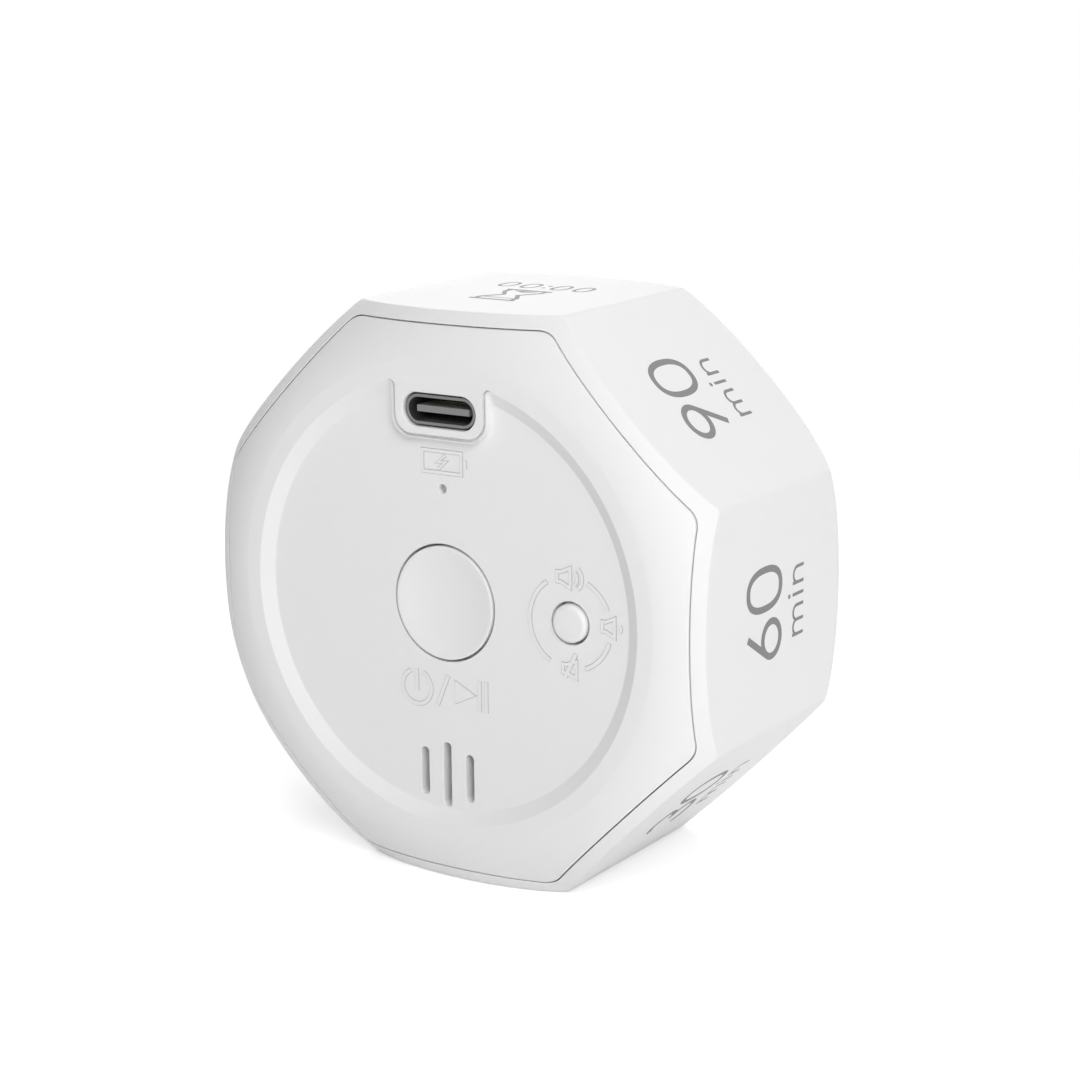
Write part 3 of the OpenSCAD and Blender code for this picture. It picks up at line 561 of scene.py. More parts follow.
def back_cover(look):
    """Domed cover: seam wall, dome, level ring with the tab, recess, disc, openings and the inside."""
    shell = Shell()
    rings = [octagon_ring(COVER_FLATS, SEAM_CORNER_R, SEAT_Z)]
    rings += [lip_ring(COVER_FLATS, drop, -reach) for drop, reach in round_edge(SEAM_EDGE_R)]
    rings += dome_rings(lambda a: octagon_radius(COVER_FLATS, SEAM_CORNER_R, a) - SEAM_EDGE_R,
                        crease, 1, DOME_STEPS)
    outside = [shell.ring(ring) for ring in rings]
    shell.strips(outside)

    wall = []
    for share, height in recess_profile():
        wall.append(shell.ring([(x, y, DISC_Z + height) for x, y in recess_outline(share)]))
    shell.strips(wall)

    port_top, port_foot = hole_rings(
        shell, lambda grow: stadium_outline(PORT_X, PORT_Y, PORT_W, PORT_H, grow + PORT_PLAY),
        HALF_DEPTH, PORT_EDGE_R)
    openings = [
        lambda grow: circle_outline(0, 0, POWER_R + BUTTON_PLAY + grow),
        lambda grow: circle_outline(VOLUME_X, 0, VOLUME_R + BUTTON_PLAY + grow),
        lambda grow: circle_outline(0, LIGHT_Y, LIGHT_HOLE_R + grow),
        lambda grow: stadium_outline(-SLOT_PITCH, SLOT_Y, SLOT_W, SLOT_SHORT, grow),
        lambda grow: stadium_outline(0, SLOT_Y, SLOT_W, SLOT_LONG, grow),
        lambda grow: stadium_outline(SLOT_PITCH, SLOT_Y, SLOT_W, SLOT_SHORT, grow),
    ]
    holes = [hole_rings(shell, outline_of, DISC_Z, HOLE_EDGE_R) for outline_of in openings]
    shell.cap(outside[-1], tab_groove(shell, wall[0]), port_top)
    shell.cap(wall[-1], *[top for top, _ in holes])

    inside_top = shell.ring(octagon_ring(COVER_IN_FLATS, SEAM_CORNER_R, DISC_IN_Z))
    inside_foot = shell.ring(octagon_ring(COVER_IN_FLATS, SEAM_CORNER_R, SEAT_Z))
    shell.cap(inside_top, port_foot, *[foot for _, foot in holes])
    shell.strips([inside_top, inside_foot, outside[0]])
    cover_fittings(shell)
    piece = shell.piece("back_cover_shell", look, "timer_body", "white_plastic")
    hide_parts("back_cover")


def tab_groove(shell, wall_top):
    """Groove along the tab's edge, behind a thin lip; returns the edge of the level face."""
    deep = groove_shares()
    count = len(deep)
    top_share = recess_profile()[0][0]
    floor_in = TAB_LIP_W + TAB_GROOVE_W
    lip_side = [(TAB_LIP_W, 0), (TAB_LIP_W, TAB_GROOVE)]
    face_side = [(floor_in, TAB_GROOVE), (floor_in + TAB_EDGE_W, 0)]
    last = wall_top[:count]
    for inset, drop in lip_side + face_side:
        outline = recess_outline(top_share, inset)
        points = [(*outline[i], HALF_DEPTH - drop * deep[i]) for i in range(1, count - 1)]
        ring = [wall_top[0], *shell.ring(points), wall_top[count - 1]]
        shell.strip(last, ring, False)
        last = ring
    return last + wall_top[count:]


def cover_fittings(shell):
    """Screw posts, speaker ring and snap hooks on the inside of the cover."""
    sunk_z = DISC_IN_Z + FITTING_SINK
    for side in (-1, 1):
        for half in (0, 180):
            x, y, _ = polar(MAIN_SCREW_R, half + side * MAIN_SCREW_ANGLE, 0)
            screw_post(shell, x, y, sunk_z, MAIN_BACK_Z)
    outer = SPEAKER_RING_R + SPEAKER_RING_WALL
    low_z = DISC_IN_Z - SPEAKER_RING_H
    ring = [(SPEAKER_RING_R, sunk_z), (outer, sunk_z), (outer, low_z), (SPEAKER_RING_R, low_z)]
    shell.lathe(ring + ring[:1], 0, SLOT_Y)
    root_z = SEAT_Z + FITTING_SINK
    tip_z = SEAT_Z - HOOK_L
    nose_z = tip_z + HOOK_NOSE_H
    inner = HOOK_OUT - HOOK_T
    nose = HOOK_OUT + HOOK_NOSE
    hook = [(inner, tip_z), (HOOK_OUT, tip_z), (nose, tip_z + HOOK_NOSE_H / 2), (nose, nose_z)]
    hook += [(HOOK_OUT, nose_z), (HOOK_OUT, root_z), (inner, root_z)]
    for quarter in range(4):
        turn = math.radians(90 * quarter)
        sides = []
        for aside in (-HOOK_W / 2, HOOK_W / 2):
            sides.append([(r * math.cos(turn) - aside * math.sin(turn),
                           r * math.sin(turn) + aside * math.cos(turn), z) for r, z in hook])
        shell.prism(*sides)


def button_profile(radius, top_z, edge_r, stem_r, stem_z, rim=()):
    """Half section of a button from its stem's end, over its flange and side, to its top."""
    outer = radius + FLANGE_W
    profile = [(0, stem_z), (stem_r, stem_z), (stem_r, FLANGE_Z), (outer, FLANGE_Z)]
    profile += [(outer, FLANGE_Z + FLANGE_T), (radius, FLANGE_Z + FLANGE_T)]
    profile += [(radius - inset, top_z - drop) for drop, inset in round_edge(edge_r)]
    profile += rim
    return profile + [(0, profile[-1][1])]


def button_top(node):
    """Highest point of a button's node, in the drawing's z."""
    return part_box(node)[1].y / MM


def button_stem(node):
    """End of a button's stem, in the drawing's z."""
    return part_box(node)[0].y / MM


def power_button(look):
    """Large button with a dished top inside a narrow rim."""
    top_z = button_top("power_button")
    dish_r = POWER_R - DISH_RIM_W
    sphere_r = (dish_r**2 + DISH_DEPTH**2) / (2 * DISH_DEPTH)
    dish = []
    for share in shares(2 * DOME_STEPS)[:-1]:
        radius = dish_r * (1 - share)
        dish.append((radius, top_z - DISH_DEPTH + sphere_r - math.sqrt(sphere_r**2 - radius**2)))
    stem_z = button_stem("power_button")
    shell = Shell()
    shell.lathe(button_profile(POWER_R, top_z, POWER_EDGE_R, POWER_STEM_R, stem_z, dish))
    piece = shell.piece("power_button_cap", look, "power_key", "white_plastic")
    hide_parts("power_button")


def volume_button(look):
    """Small button with a round edge."""
    top_z = button_top("volume_button")
    stem_z = button_stem("volume_button")
    shell = Shell()
    shell.lathe(button_profile(VOLUME_R, top_z, VOLUME_EDGE_R, VOLUME_STEM_R, stem_z), VOLUME_X, 0)
    piece = shell.piece("volume_button_cap", look, "volume_key", "white_plastic")
    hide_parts("volume_button")


def port_shell(look):
    """Metal shell of the port, with a flat lip between soft edges."""
    low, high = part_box("usb_shell")
    foot_z, lip_z = low.y / MM, high.y / MM
    outer = [(0, foot_z)]
    outer += [(-inset, lip_z - drop) for drop, inset in round_edge(PORT_LIP_R)]
    profile = outer + [(-PORT_SHEET - grow, z) for grow, z in reversed(outer)]
    shell = Shell()
    rings = []
    for grow, z in profile:
        outline = stadium_outline(PORT_X, PORT_Y, PORT_W, PORT_H, grow)
        rings.append(shell.ring([(x, y, z) for x, y in outline]))
    shell.strips(rings + rings[:1])
    piece = shell.piece("usb_port_shell", look, "timer_body", "port_steel")
    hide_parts("usb_shell")


def display_window(look):
    """Round smoked window with a softened edge."""
    back_z = LENS_FACE_Z + LENS_T
    profile = [(0, LENS_FACE_Z)]
    profile += [(LENS_R - inset, LENS_FACE_Z + drop) for inset, drop in round_edge(LENS_EDGE_R)]
    profile += [(LENS_R, back_z), (0, back_z)]
    shell = Shell()
    shell.lathe(profile, steps=2 * CIRCLE_STEPS)
    piece = shell.piece("display_window", look, "timer_body", "smoked_window")
    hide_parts("display_lens")


def snap_dome(key, look):
    """Metal dome under a key's plunger, as thick as its sheet, drawn at rest before the plunger presses it
    flat.
    """
    low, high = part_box(key + "_switch_dome")
    radius = (high.x - low.x) / 2 / MM
    rise = (high.y - low.y) / MM
    foot_z = low.y / MM
    x = -(low.x + high.x) / 2 / MM
    y = (low.z + high.z) / 2 / MM - HALF_FLATS
    arc_r = (radius**2 + rise**2) / (2 * rise)
    sunk = arc_r - rise
    outside = []
    inside = []
    for share in shares(DOME_STEPS):
        for side, sphere_r in ((outside, arc_r), (inside, arc_r - SNAP_T)):
            reach = share * math.sqrt(sphere_r**2 - sunk**2)
            side.append((reach, foot_z + math.sqrt(sphere_r**2 - reach**2) - sunk))
    shell = Shell()
    shell.lathe(outside + inside[::-1], x, y, SMALL_STEPS)
    piece = shell.piece(key + "_snap_dome", look, "timer_body", "spring_steel")
    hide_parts(key + "_switch_dome")
    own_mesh(piece)


# Marks: strokes and plates on the disc and on the facets

def offset_path(path, distance, closed):
    """A path's points moved to its left, with mitred corners."""
    count = len(path)
    moved = []
    for i, (x, y) in enumerate(path):
        before = path[i - 1] if closed or i > 0 else None
        after = path[(i + 1) % count] if closed or i < count - 1 else None
        first = Vector((x - before[0], y - before[1])) if before else Vector((after[0] - x, after[1] - y))
        second = Vector((after[0] - x, after[1] - y)) if after else first
        first.normalize()
        middle = (first + second.normalized()).normalized()
        reach = distance / max(MITRE_LIMIT, first.dot(middle))
        moved.append((x - reach * middle.y, y + reach * middle.x))
    return moved


class Marks:
    """Raised strokes and plates on one face; place gives a drawing point for x, y and a height. Side faces
    can take a second look, which on the disc is painted shade.
    """

    def __init__(self, shell, place, height, chamfer, painted_shade_look=0):
        self.shell = shell
        self.place = place
        self.height = height
        self.chamfer = chamfer
        self.painted_shade_look = painted_shade_look

    def points(self, path, height):
        """Vertices along a path at a height over the face."""
        return self.shell.ring([self.place(x, y, height) for x, y in path])

    def stroke(self, path, width, closed=False):
        """Line of a width along a path, a little lower than the mark before it, so no two tops coincide."""
        half = width / 2
        wide = half + self.chamfer
        sides = [(wide, -PRINT_SINK), (half, self.height), (-half, self.height), (-wide, -PRINT_SINK)]
        left, top_left, top_right, right = [
            self.points(offset_path(path, reach, closed), height) for reach, height in sides]
        self.shell.strip(top_left, top_right, closed)
        self.shell.strip(right, left, closed)
        # Side faces and ends take the second look: on the disc, painted shade, a darker white in place of
        # the shadow along the stroke's foot.
        self.shell.strip(left, top_left, closed, self.painted_shade_look)
        self.shell.strip(top_right, right, closed, self.painted_shade_look)
        if not closed:
            for end in (0, -1):
                face = self.shell.mesh.faces.new((left[end], top_left[end], top_right[end], right[end]))
                face.material_index = self.painted_shade_look
        self.height -= LAYER_STEP

    def plate(self, outline):
        """Filled shape inside a convex outline that runs counter-clockwise."""
        foot = self.points(offset_path(outline, -self.chamfer, True), -PRINT_SINK)
        top = self.points(outline, self.height)
        # The plate's sloped side takes the second look: on the disc, painted shade.
        self.shell.strip(foot, top, True, self.painted_shade_look)
        self.shell.mesh.faces.new(foot)
        self.shell.mesh.faces.new(top)
        self.height -= LAYER_STEP


def on_disc(x, y, height):
    """Drawing point at a height over the disc in the recess."""
    return (x, y, DISC_Z + height)


def speaker_icon(marks, x, y, width, height):
    """Outline of a loudspeaker that opens to the right."""
    box_w = 0.28 * width
    box_h = 0.25 * height
    half_h = height / 2
    box_x = x + box_w
    right = x + width
    lower = [(x, y - box_h), (box_x, y - box_h), (right, y - half_h)]
    upper = [(right, y + half_h), (box_x, y + box_h), (x, y + box_h)]
    marks.stroke(lower + upper, THIN_STROKE, True)


def volume_marks(marks):
    """Ring of arcs around the volume button with loud, low and mute signs in its gaps."""
    ring_r = 4.97
    for start, end in ((124.6, 239.8), (65.2, 22.2), (-17.3, -68.2)):
        marks.stroke(arc(VOLUME_X, 0, ring_r, start, end), MARK_STROKE)
    loud_x, loud_y, loud_w, loud_h = VOLUME_X - 1.55, 4.85, 1.6, 2.1
    speaker_icon(marks, loud_x, loud_y, loud_w, loud_h)
    for wave_r in (0.85, 1.45):
        marks.stroke(arc(loud_x + loud_w, loud_y, wave_r, 50, -50), THIN_STROKE)
    low_x, low_y, low_w, low_h = VOLUME_X + 3.9, 0.25, 1.5, 2.0
    speaker_icon(marks, low_x, low_y, low_w, low_h)
    wave_r = 0.75
    marks.stroke(arc(low_x + low_w, low_y, wave_r, 30, -30), THIN_STROKE)
    mute_x, mute_y, mute_w, mute_h = VOLUME_X - 0.9, -4.9, 1.65, 1.8
    slash = [(mute_x + 0.25, mute_y - 0.95), (mute_x + 1.6, mute_y + 1.7)]
    marks.stroke(slash, MARK_STROKE)
    speaker_icon(marks, mute_x, mute_y, mute_w, mute_h)


def power_marks(marks):
    """Signs for on and off, a slash, play and pause below the power button."""
    on_x, on_y, on_r = -3.8, -9.82, 1.9
    on_bar = [(on_x, on_y + 2.05), (on_x, on_y - 0.4)]
    slash = [(-1.1, -11.47), (0.35, -7.97)]
    play = [(1.2, -10.97), (3.9, -9.67), (1.2, -8.37)]
    pause_top, pause_foot = -8.0, -11.4
    marks.stroke(arc(on_x, on_y, on_r, 65, -245), MARK_STROKE)
    marks.stroke(on_bar, MARK_STROKE)
    marks.stroke(slash, MARK_STROKE)
    marks.plate(play)
    for pause_x in (4.4, 5.25):
        marks.stroke([(pause_x, pause_top), (pause_x, pause_foot)], MARK_STROKE)


def charge_marks(marks):
    """Battery with a bolt below the port."""
    half_w, half_h, y = 2.5, 1.15, LIGHT_Y + 2.9
    pole_x, pole_half_h = half_w + 0.45, 0.45
    case = [(-half_w, y - half_h), (half_w, y - half_h), (half_w, y + half_h), (-half_w, y + half_h)]
    bolt = [(0.45, y + 0.75), (-0.5, y - 0.05), (0.5, y + 0.05), (-0.45, y - 0.75)]
    marks.stroke(case, THIN_STROKE, True)
    marks.stroke([(pole_x, y - pole_half_h), (pole_x, y + pole_half_h)], MARK_STROKE)
    marks.stroke(bolt, BOLT_STROKE)


def disc_marks(look, painted_shade_look):
    """Raised signs on the disc, with painted shade on their side faces: a darker white in place of the
    shadow at their feet.
    """
    shell = Shell()
    marks = Marks(shell, on_disc, MARK_H, MARK_CHAMFER, 1)
    volume_marks(marks)
    power_marks(marks)
    charge_marks(marks)
    piece = shell.piece("moulded_signs", look, "timer_body", "white_plastic", MARK_SOFT_ANGLE)
    piece.data.materials.append(painted_shade_look)


def on_facet(angle, right, up):
    """Maps a facet's reading frame, moved right and up, and a height over it to a drawing point."""
    turn = math.radians(angle)

    def place(x, y, height):
        reach = FACE_FLATS + height
        along = x + right
        return (reach * math.cos(turn) - along * math.sin(turn),
                reach * math.sin(turn) + along * math.cos(turn), y + up)
    return place


def oval(x, y, half_w, half_h, power=2.4):
    """Closed outline of a rounded oval, fuller than an ellipse."""
    points = []
    for step in range(OVAL_STEPS):
        turn = 2 * math.pi * step / OVAL_STEPS
        across = math.copysign(abs(math.cos(turn))**(2 / power), math.cos(turn))
        upward = math.copysign(abs(math.sin(turn))**(2 / power), math.sin(turn))
        points.append((x + half_w * across, y + half_h * upward))
    return points


def draw_zero(marks, x):
    """Numeral 0."""
    marks.stroke(oval(x, DIGIT_MIDDLE, DIGIT_HALF_W, DIGIT_HALF_H), DIGIT_STROKE, True)


def draw_six(marks, x, flip=1):
    """Numeral 6, or 9 where flip is -1: a bowl with a straight tail."""
    bowl_y = -DIGIT_HALF_H + BOWL_R
    tip = (0.95, DIGIT_HALF_H)
    to_tip = Vector((tip[0], tip[1] - bowl_y))
    lean = math.degrees(math.atan2(to_tip.y, to_tip.x) + math.acos(BOWL_R / to_tip.length))
    bowl = arc(0, bowl_y, BOWL_R, 0, 360 - ARC_STEP)
    tail = [tip] + arc(0, bowl_y, BOWL_R, lean, lean + 60)
    for path, closed in ((bowl, True), (tail, False)):
        marks.stroke([(x + flip * px, DIGIT_MIDDLE + flip * py) for px, py in path], DIGIT_STROKE, closed)


def draw_nine(marks, x):
    """Numeral 9."""
    draw_six(marks, x, -1)


def draw_three(marks, x):
    """Numeral 3: two wide bowls that meet in the middle."""
    upper_r = 1.6
    widen = 1.18
    lower_r = DIGIT_HALF_H - upper_r
    path = arc(0, DIGIT_MIDDLE + DIGIT_HALF_H - upper_r, upper_r, 160, -75)
    path += arc(0, DIGIT_MIDDLE - DIGIT_HALF_H + lower_r, lower_r, 80, -155)
    marks.stroke([(x + widen * px, py) for px, py in path], DIGIT_STROKE)


def draw_one(marks, x):
    """Numeral 1."""
    top = DIGIT_MIDDLE + DIGIT_HALF_H
    marks.stroke([(x - 1.1, top - 1.1), (x + 0.4, top), (x + 0.4, DIGIT_FOOT)], DIGIT_STROKE)


def draw_five(marks, x):
    """Numeral 5: a flag, a stem and a bowl."""
    top = DIGIT_MIDDLE + DIGIT_HALF_H
    bowl_r = 2.05
    bowl_y = DIGIT_MIDDLE - DIGIT_HALF_H + bowl_r
    path = [(x + 1.7, top), (x - 1.2, top), (x - 1.55, bowl_y + 1.35)]
    path += arc(x - 0.05, bowl_y, bowl_r, 125, -150)
    marks.stroke(path, DIGIT_STROKE)


def draw_dot(marks, x, y, radius):
    """Round dot."""
    marks.plate(arc(x, y, radius, 0, DOT_END))


def draw_arches(marks, first, width, count):
    """Small letter of a stem and as many arches."""
    radius = width / 2
    centre_y = WORD_TOP - WORD_STROKE / 2 - radius
    marks.stroke([(first, WORD_FOOT), (first, WORD_TOP)], WORD_STROKE)
    for index in range(count):
        left = first + index * width
        path = arc(left + radius, centre_y, radius, 165, 0)
        marks.stroke(path + [(left + width, WORD_FOOT)], WORD_STROKE)


def draw_unit(marks):
    """The unit min below the numerals."""
    stem_x, dot_rise, dot_r = 0.7, 0.75, 0.26
    draw_arches(marks, -3.75, 1.6, 2)
    draw_arches(marks, 1.95, 1.75, 1)
    marks.stroke([(stem_x, WORD_FOOT), (stem_x, WORD_TOP)], WORD_STROKE)
    draw_dot(marks, stem_x, WORD_TOP + dot_rise, dot_r)


def draw_hourglass(marks):
    """Sand glass."""
    bar_w, bulb_w, neck_w = 2.9, 2.3, 0.9
    top, foot = 5.7, -1.7
    neck = (top + foot) / 2
    shoulder = 1.4
    sand_w, sand_foot, sand_top = 1.5, foot + 0.6, foot + 1.6
    stroke = 0.5
    for y in (top, foot):
        marks.stroke([(-bar_w, y), (bar_w, y)], stroke)
    upper = [(bulb_w, top), (bulb_w, top - shoulder), (neck_w, neck)]
    lower = [(bulb_w, foot + shoulder), (bulb_w, foot)]
    for side in (-1, 1):
        marks.stroke([(side * x, y) for x, y in upper + lower], stroke)
    marks.stroke([(-bulb_w, top - shoulder), (bulb_w, top - shoulder)], stroke / 2)
    marks.plate([(-sand_w, sand_foot), (sand_w, sand_foot), (0, sand_top)])


def draw_clock_digits(marks):
    """Row of noughts with a colon in the middle."""
    half_w = 0.85
    half_h = (CLOCK_TOP - CLOCK_FOOT) / 2
    middle = CLOCK_FOOT + half_h
    for x in (-4.9, -2.0, 2.0, 4.9):
        marks.stroke(oval(x, middle, half_w, half_h - CLOCK_STROKE / 2), CLOCK_STROKE, True)
    dot_rise, dot_r = 0.75, 0.3
    for y in (middle - dot_rise, middle + dot_rise):
        draw_dot(marks, 0, y, dot_r)


def draw_clock(marks):
    """Round clock face with two hands."""
    middle, radius = 1.0, 4.0
    rim_stroke, hand_stroke = 0.6, 0.55
    hands = [(0, middle + 2.6), (0, middle), (1.8, middle - 1.0)]
    marks.stroke(arc(0, middle, radius, 0, 360 - ARC_STEP), rim_stroke, True)
    marks.stroke(hands, hand_stroke)


def facet_marks(shell, angle, right=0, up=0):
    """Prints on the facet at an angle, moved right and up."""
    return Marks(shell, on_facet(angle, right, up), PRINT_T, 0)


def draw_minutes(marks, *digits):
    """Numerals, each with its place along the facet, and the unit below them."""
    for draw, x in digits:
        draw(marks, x)
    draw_unit(marks)


def facet_prints(look):
    """Printed numerals and signs, one facet after another."""
    shell = Shell()
    top = facet_marks(shell, 90, right=0.4)
    draw_hourglass(top)
    draw_clock_digits(top)
    draw_clock(facet_marks(shell, 135))
    zero = (draw_zero, 2.7)
    one = (draw_one, -2.6)
    draw_minutes(facet_marks(shell, 45), (draw_nine, -2.95), zero)
    draw_minutes(facet_marks(shell, 0), (draw_six, -2.95), zero)
    draw_minutes(facet_marks(shell, -45, right=-0.4, up=-0.9), (draw_three, -3.2), zero)
    draw_minutes(facet_marks(shell, -90), one, (draw_five, 2.2))
    draw_minutes(facet_marks(shell, -135), one, zero)
    draw_minutes(facet_marks(shell, 180), (draw_five, 0))
    shell.piece("facet_prints", look, "timer_body", None, MARK_SOFT_ANGLE)


# Materials

class Look:
    """Nodes of a material or a world; patterns sit in the object's own space, in metres."""

    # Places of the colour sockets on a mix node, which has several sockets of each name
    MIX_COLOURS = (6, 7)
    MIX_RESULT = 2

    def __init__(self, made, shader="Principled BSDF"):
        self.made = made
        self.made.use_nodes = True
        self.nodes = self.made.node_tree.nodes
        self.shader = self.nodes[shader]
        self.coordinates = self.add("ShaderNodeTexCoord")
        self.space = self.coordinates.outputs["Object"]

    def add(self, kind, **inputs):
        """Adds a node and sets or links its inputs by name."""
        node = self.nodes.new(kind)
        for name, value in inputs.items():
            self.feed(node.inputs[name.replace("_", " ")], value)
        return node

    def feed(self, socket, value):
        """Sets a socket, or links it where the value is an output."""
        if isinstance(value, bpy.types.NodeSocket):
            self.made.node_tree.links.new(value, socket)
        else:
            socket.default_value = value

    def set(self, **inputs):
        """Sets or links inputs of the shader."""
        for name, value in inputs.items():
            self.feed(self.shader.inputs[name.replace("_", " ")], value)

    def noise(self, size_mm, detail=3.0):
        """Noise with features of a size."""
        node = self.add("ShaderNodeTexNoise", Vector=self.space, Scale=1 / (size_mm * MM), Detail=detail)
        return node.outputs["Fac"]

    def math(self, operation, first, second):
        """Result of a sum on two values or outputs."""
        node = self.nodes.new("ShaderNodeMath")
        node.operation = operation
        self.feed(node.inputs[0], first)
        self.feed(node.inputs[1], second)
        return node.outputs["Value"]

    def between(self, factor, low, high):
        """Number that follows a factor between two values."""
        node = self.add("ShaderNodeMapRange", Value=factor, To_Min=low, To_Max=high)
        return node.outputs["Result"]

    def tint(self, factor, first, second):
        """Colour that follows a factor between two colours."""
        node = self.add("ShaderNodeMix", Factor=factor)
        node.data_type = "RGBA"
        for place, colour in zip(self.MIX_COLOURS, (first, second)):
            node.inputs[place].default_value = (*colour, 1)
        return node.outputs[self.MIX_RESULT]

    def bump(self, height, depth_mm):
        """Small relief of a depth."""
        node = self.add("ShaderNodeBump", Height=height, Distance=depth_mm * MM, Strength=1.0)
        self.set(Normal=node.outputs["Normal"])


def material(name):
    """Fresh material with a principled shader."""
    return Look(bpy.data.materials.new(name))


def shade(colour, share):
    """Colour made lighter or darker by a share."""
    return tuple(min(1.0, channel * (1 + share)) for channel in colour)


def surface(name, colour, roughness, grain_mm, relief_mm, vary=0.03, metallic=0.0, gloss=0.5):
    """Moulded, plated or printed surface: a fine grain, with slow changes of tone and gloss."""
    look = material(name)
    slow_mm = 12 * grain_mm
    dulling = 0.05
    slow = look.noise(slow_mm, 2)
    fine = look.noise(grain_mm, 4)
    look.set(Base_Color=look.tint(slow, shade(colour, -vary), shade(colour, vary)))
    look.set(Roughness=look.between(slow, roughness - dulling, roughness + dulling))
    look.set(Metallic=metallic, Specular_IOR_Level=gloss)
    look.bump(fine, relief_mm)
    return look.made


def white_plastic(name, level):
    """Satin white moulded plastic of a level of white."""
    return surface(name, (level, level, level), 0.5, 0.12, 0.0012, 0.008, gloss=0.25)


def ink():
    """Grey pad print, slightly uneven."""
    return surface("grey_ink", (0.21, 0.21, 0.21), 0.6, 0.1, 0.001, 0.06)


def clear(name, colour, roughness, through):
    """Plastic that lets a share of the light through."""
    look = material(name)
    grain = look.noise(0.4)
    look.set(Base_Color=(*colour, 1), Transmission_Weight=through, IOR=1.49)
    look.set(Roughness=look.between(grain, roughness, roughness + 0.02))
    return look.made


def board():
    """Solder mask over copper tracks."""
    look = material("circuit_board")
    tracks = look.add("ShaderNodeTexBrick", Vector=look.space, Scale=400, Mortar_Size=0.06)
    dark, pale = (0.012, 0.12, 0.05), (0.03, 0.2, 0.09)
    look.set(Base_Color=look.tint(tracks.outputs["Fac"], dark, pale))
    look.set(Roughness=look.between(look.noise(0.6), 0.25, 0.4))
    look.bump(tracks.outputs["Fac"], 0.02)
    return look.made


def ribbon():
    """Flat cable with a row of conductors under the film."""
    look = material("ribbon")
    stripes = look.add("ShaderNodeTexWave", Vector=look.space, Scale=310)
    look.set(Base_Color=look.tint(stripes.outputs["Fac"], (0.55, 0.6, 0.66), (0.8, 0.82, 0.84)))
    look.set(Roughness=look.between(look.noise(0.5), 0.25, 0.35))
    look.bump(stripes.outputs["Fac"], 0.02)
    return look.made


def foil():
    """Crinkled foil of the battery's pouch."""
    look = material("cell_foil")
    folds = look.add("ShaderNodeTexVoronoi", Vector=look.space, Scale=700)
    dark, pale = (0.6, 0.61, 0.62), (0.74, 0.75, 0.76)
    look.set(Base_Color=look.tint(folds.outputs["Distance"], dark, pale), Metallic=1.0)
    look.set(Roughness=look.between(look.noise(1.5), 0.25, 0.45))
    look.bump(folds.outputs["Distance"], 0.05)
    return look.made


def make_looks():
    """A material for each of the record's slots, the ink, and a darker white that paints shade on the
    signs' edges.
    """
    plated = dict(metallic=1.0, relief_mm=0.001, grain_mm=0.15)
    moulded = dict(relief_mm=0.002, grain_mm=0.15)
    return {
        "white_plastic": white_plastic("white_plastic", 0.8),
        # Painted shade: a darker white for the signs' side faces, in place of the shadow along their feet.
        "sign_edge_painted_shade": white_plastic("sign_edge_painted_shade", 0.45),
        "ink": ink(),
        "smoked_window": clear("smoked_window", (0.05, 0.05, 0.055), 0.02, 1.0),
        "clear_plastic": clear("clear_plastic", (0.55, 0.57, 0.57), 0.3, 0.3),
        "circuit_board": board(),
        "ribbon": ribbon(),
        "cell_foil": foil(),
        "port_steel": surface("port_steel", (0.23, 0.23, 0.23), 0.5, vary=0.05, **plated),
        "screw_steel": surface("screw_steel", (0.62, 0.62, 0.62), 0.3, vary=0.05, **plated),
        "spring_steel": surface("spring_steel", (0.7, 0.7, 0.7), 0.22, vary=0.04, **plated),
        "gold": surface("gold", (0.83, 0.62, 0.28), 0.25, vary=0.05, **plated),
        "port_plastic": surface("port_plastic", (0.22, 0.22, 0.22), 0.5, vary=0.06, **moulded),
        "foam": surface("foam", (0.05, 0.05, 0.05), 0.85, 0.3, 0.05, 0.2),
        "display_body": surface("display_body", (0.035, 0.035, 0.035), 0.55, vary=0.08, **moulded),
        "segment_fill": surface("segment_fill", (0.75, 0.75, 0.72), 0.5, vary=0.03, **moulded),
        "light_chip": surface("light_chip", (0.9, 0.8, 0.35), 0.25, vary=0.05, **moulded),
        "chip": surface("chip", (0.045, 0.045, 0.05), 0.6, vary=0.1, **moulded),
        "connector": surface("connector", (0.82, 0.78, 0.66), 0.5, vary=0.03, **moulded),
        "switch_plastic": surface("switch_plastic", (0.05, 0.05, 0.05), 0.5, vary=0.08, **moulded),
        "speaker_black": surface("speaker_black", (0.05, 0.05, 0.05), 0.6, vary=0.1, **moulded),
        "red_insulation": surface("red_insulation", (0.5, 0.03, 0.03), 0.4, vary=0.05, **moulded),
        "black_insulation": surface("black_insulation", (0.03, 0.03, 0.03), 0.4, vary=0.08, **moulded),
        "passive": surface("passive", (0.55, 0.42, 0.28), 0.45, vary=0.08, **moulded),
    }


def dress_nodes(looks):
    """Gives every CAD node the material of its slot, and soft edges to the port's tongue."""
    for subpart in frame["record"]["subparts"]:
        node = frame["nodes"][subpart["node"]]
        for slot in node.material_slots:
            slot.material = looks[subpart["material_slot"]]
    soft = frame["nodes"]["usb_tongue"].modifiers.new("soft edges", "BEVEL")
    soft.width = TONGUE_EDGE_R * MM
    soft.segments = TONGUE_EDGE_STEPS


# Floor, light and camera

def shown_rays(look):
    """1 for rays that show the background: camera, glossy and transmission rays."""
    path = look.add("ShaderNodeLightPath")
    seen = look.math("MAXIMUM", path.outputs["Is Camera Ray"], path.outputs["Is Glossy Ray"])
    return look.math("MAXIMUM", seen, path.outputs["Is Transmission Ray"])


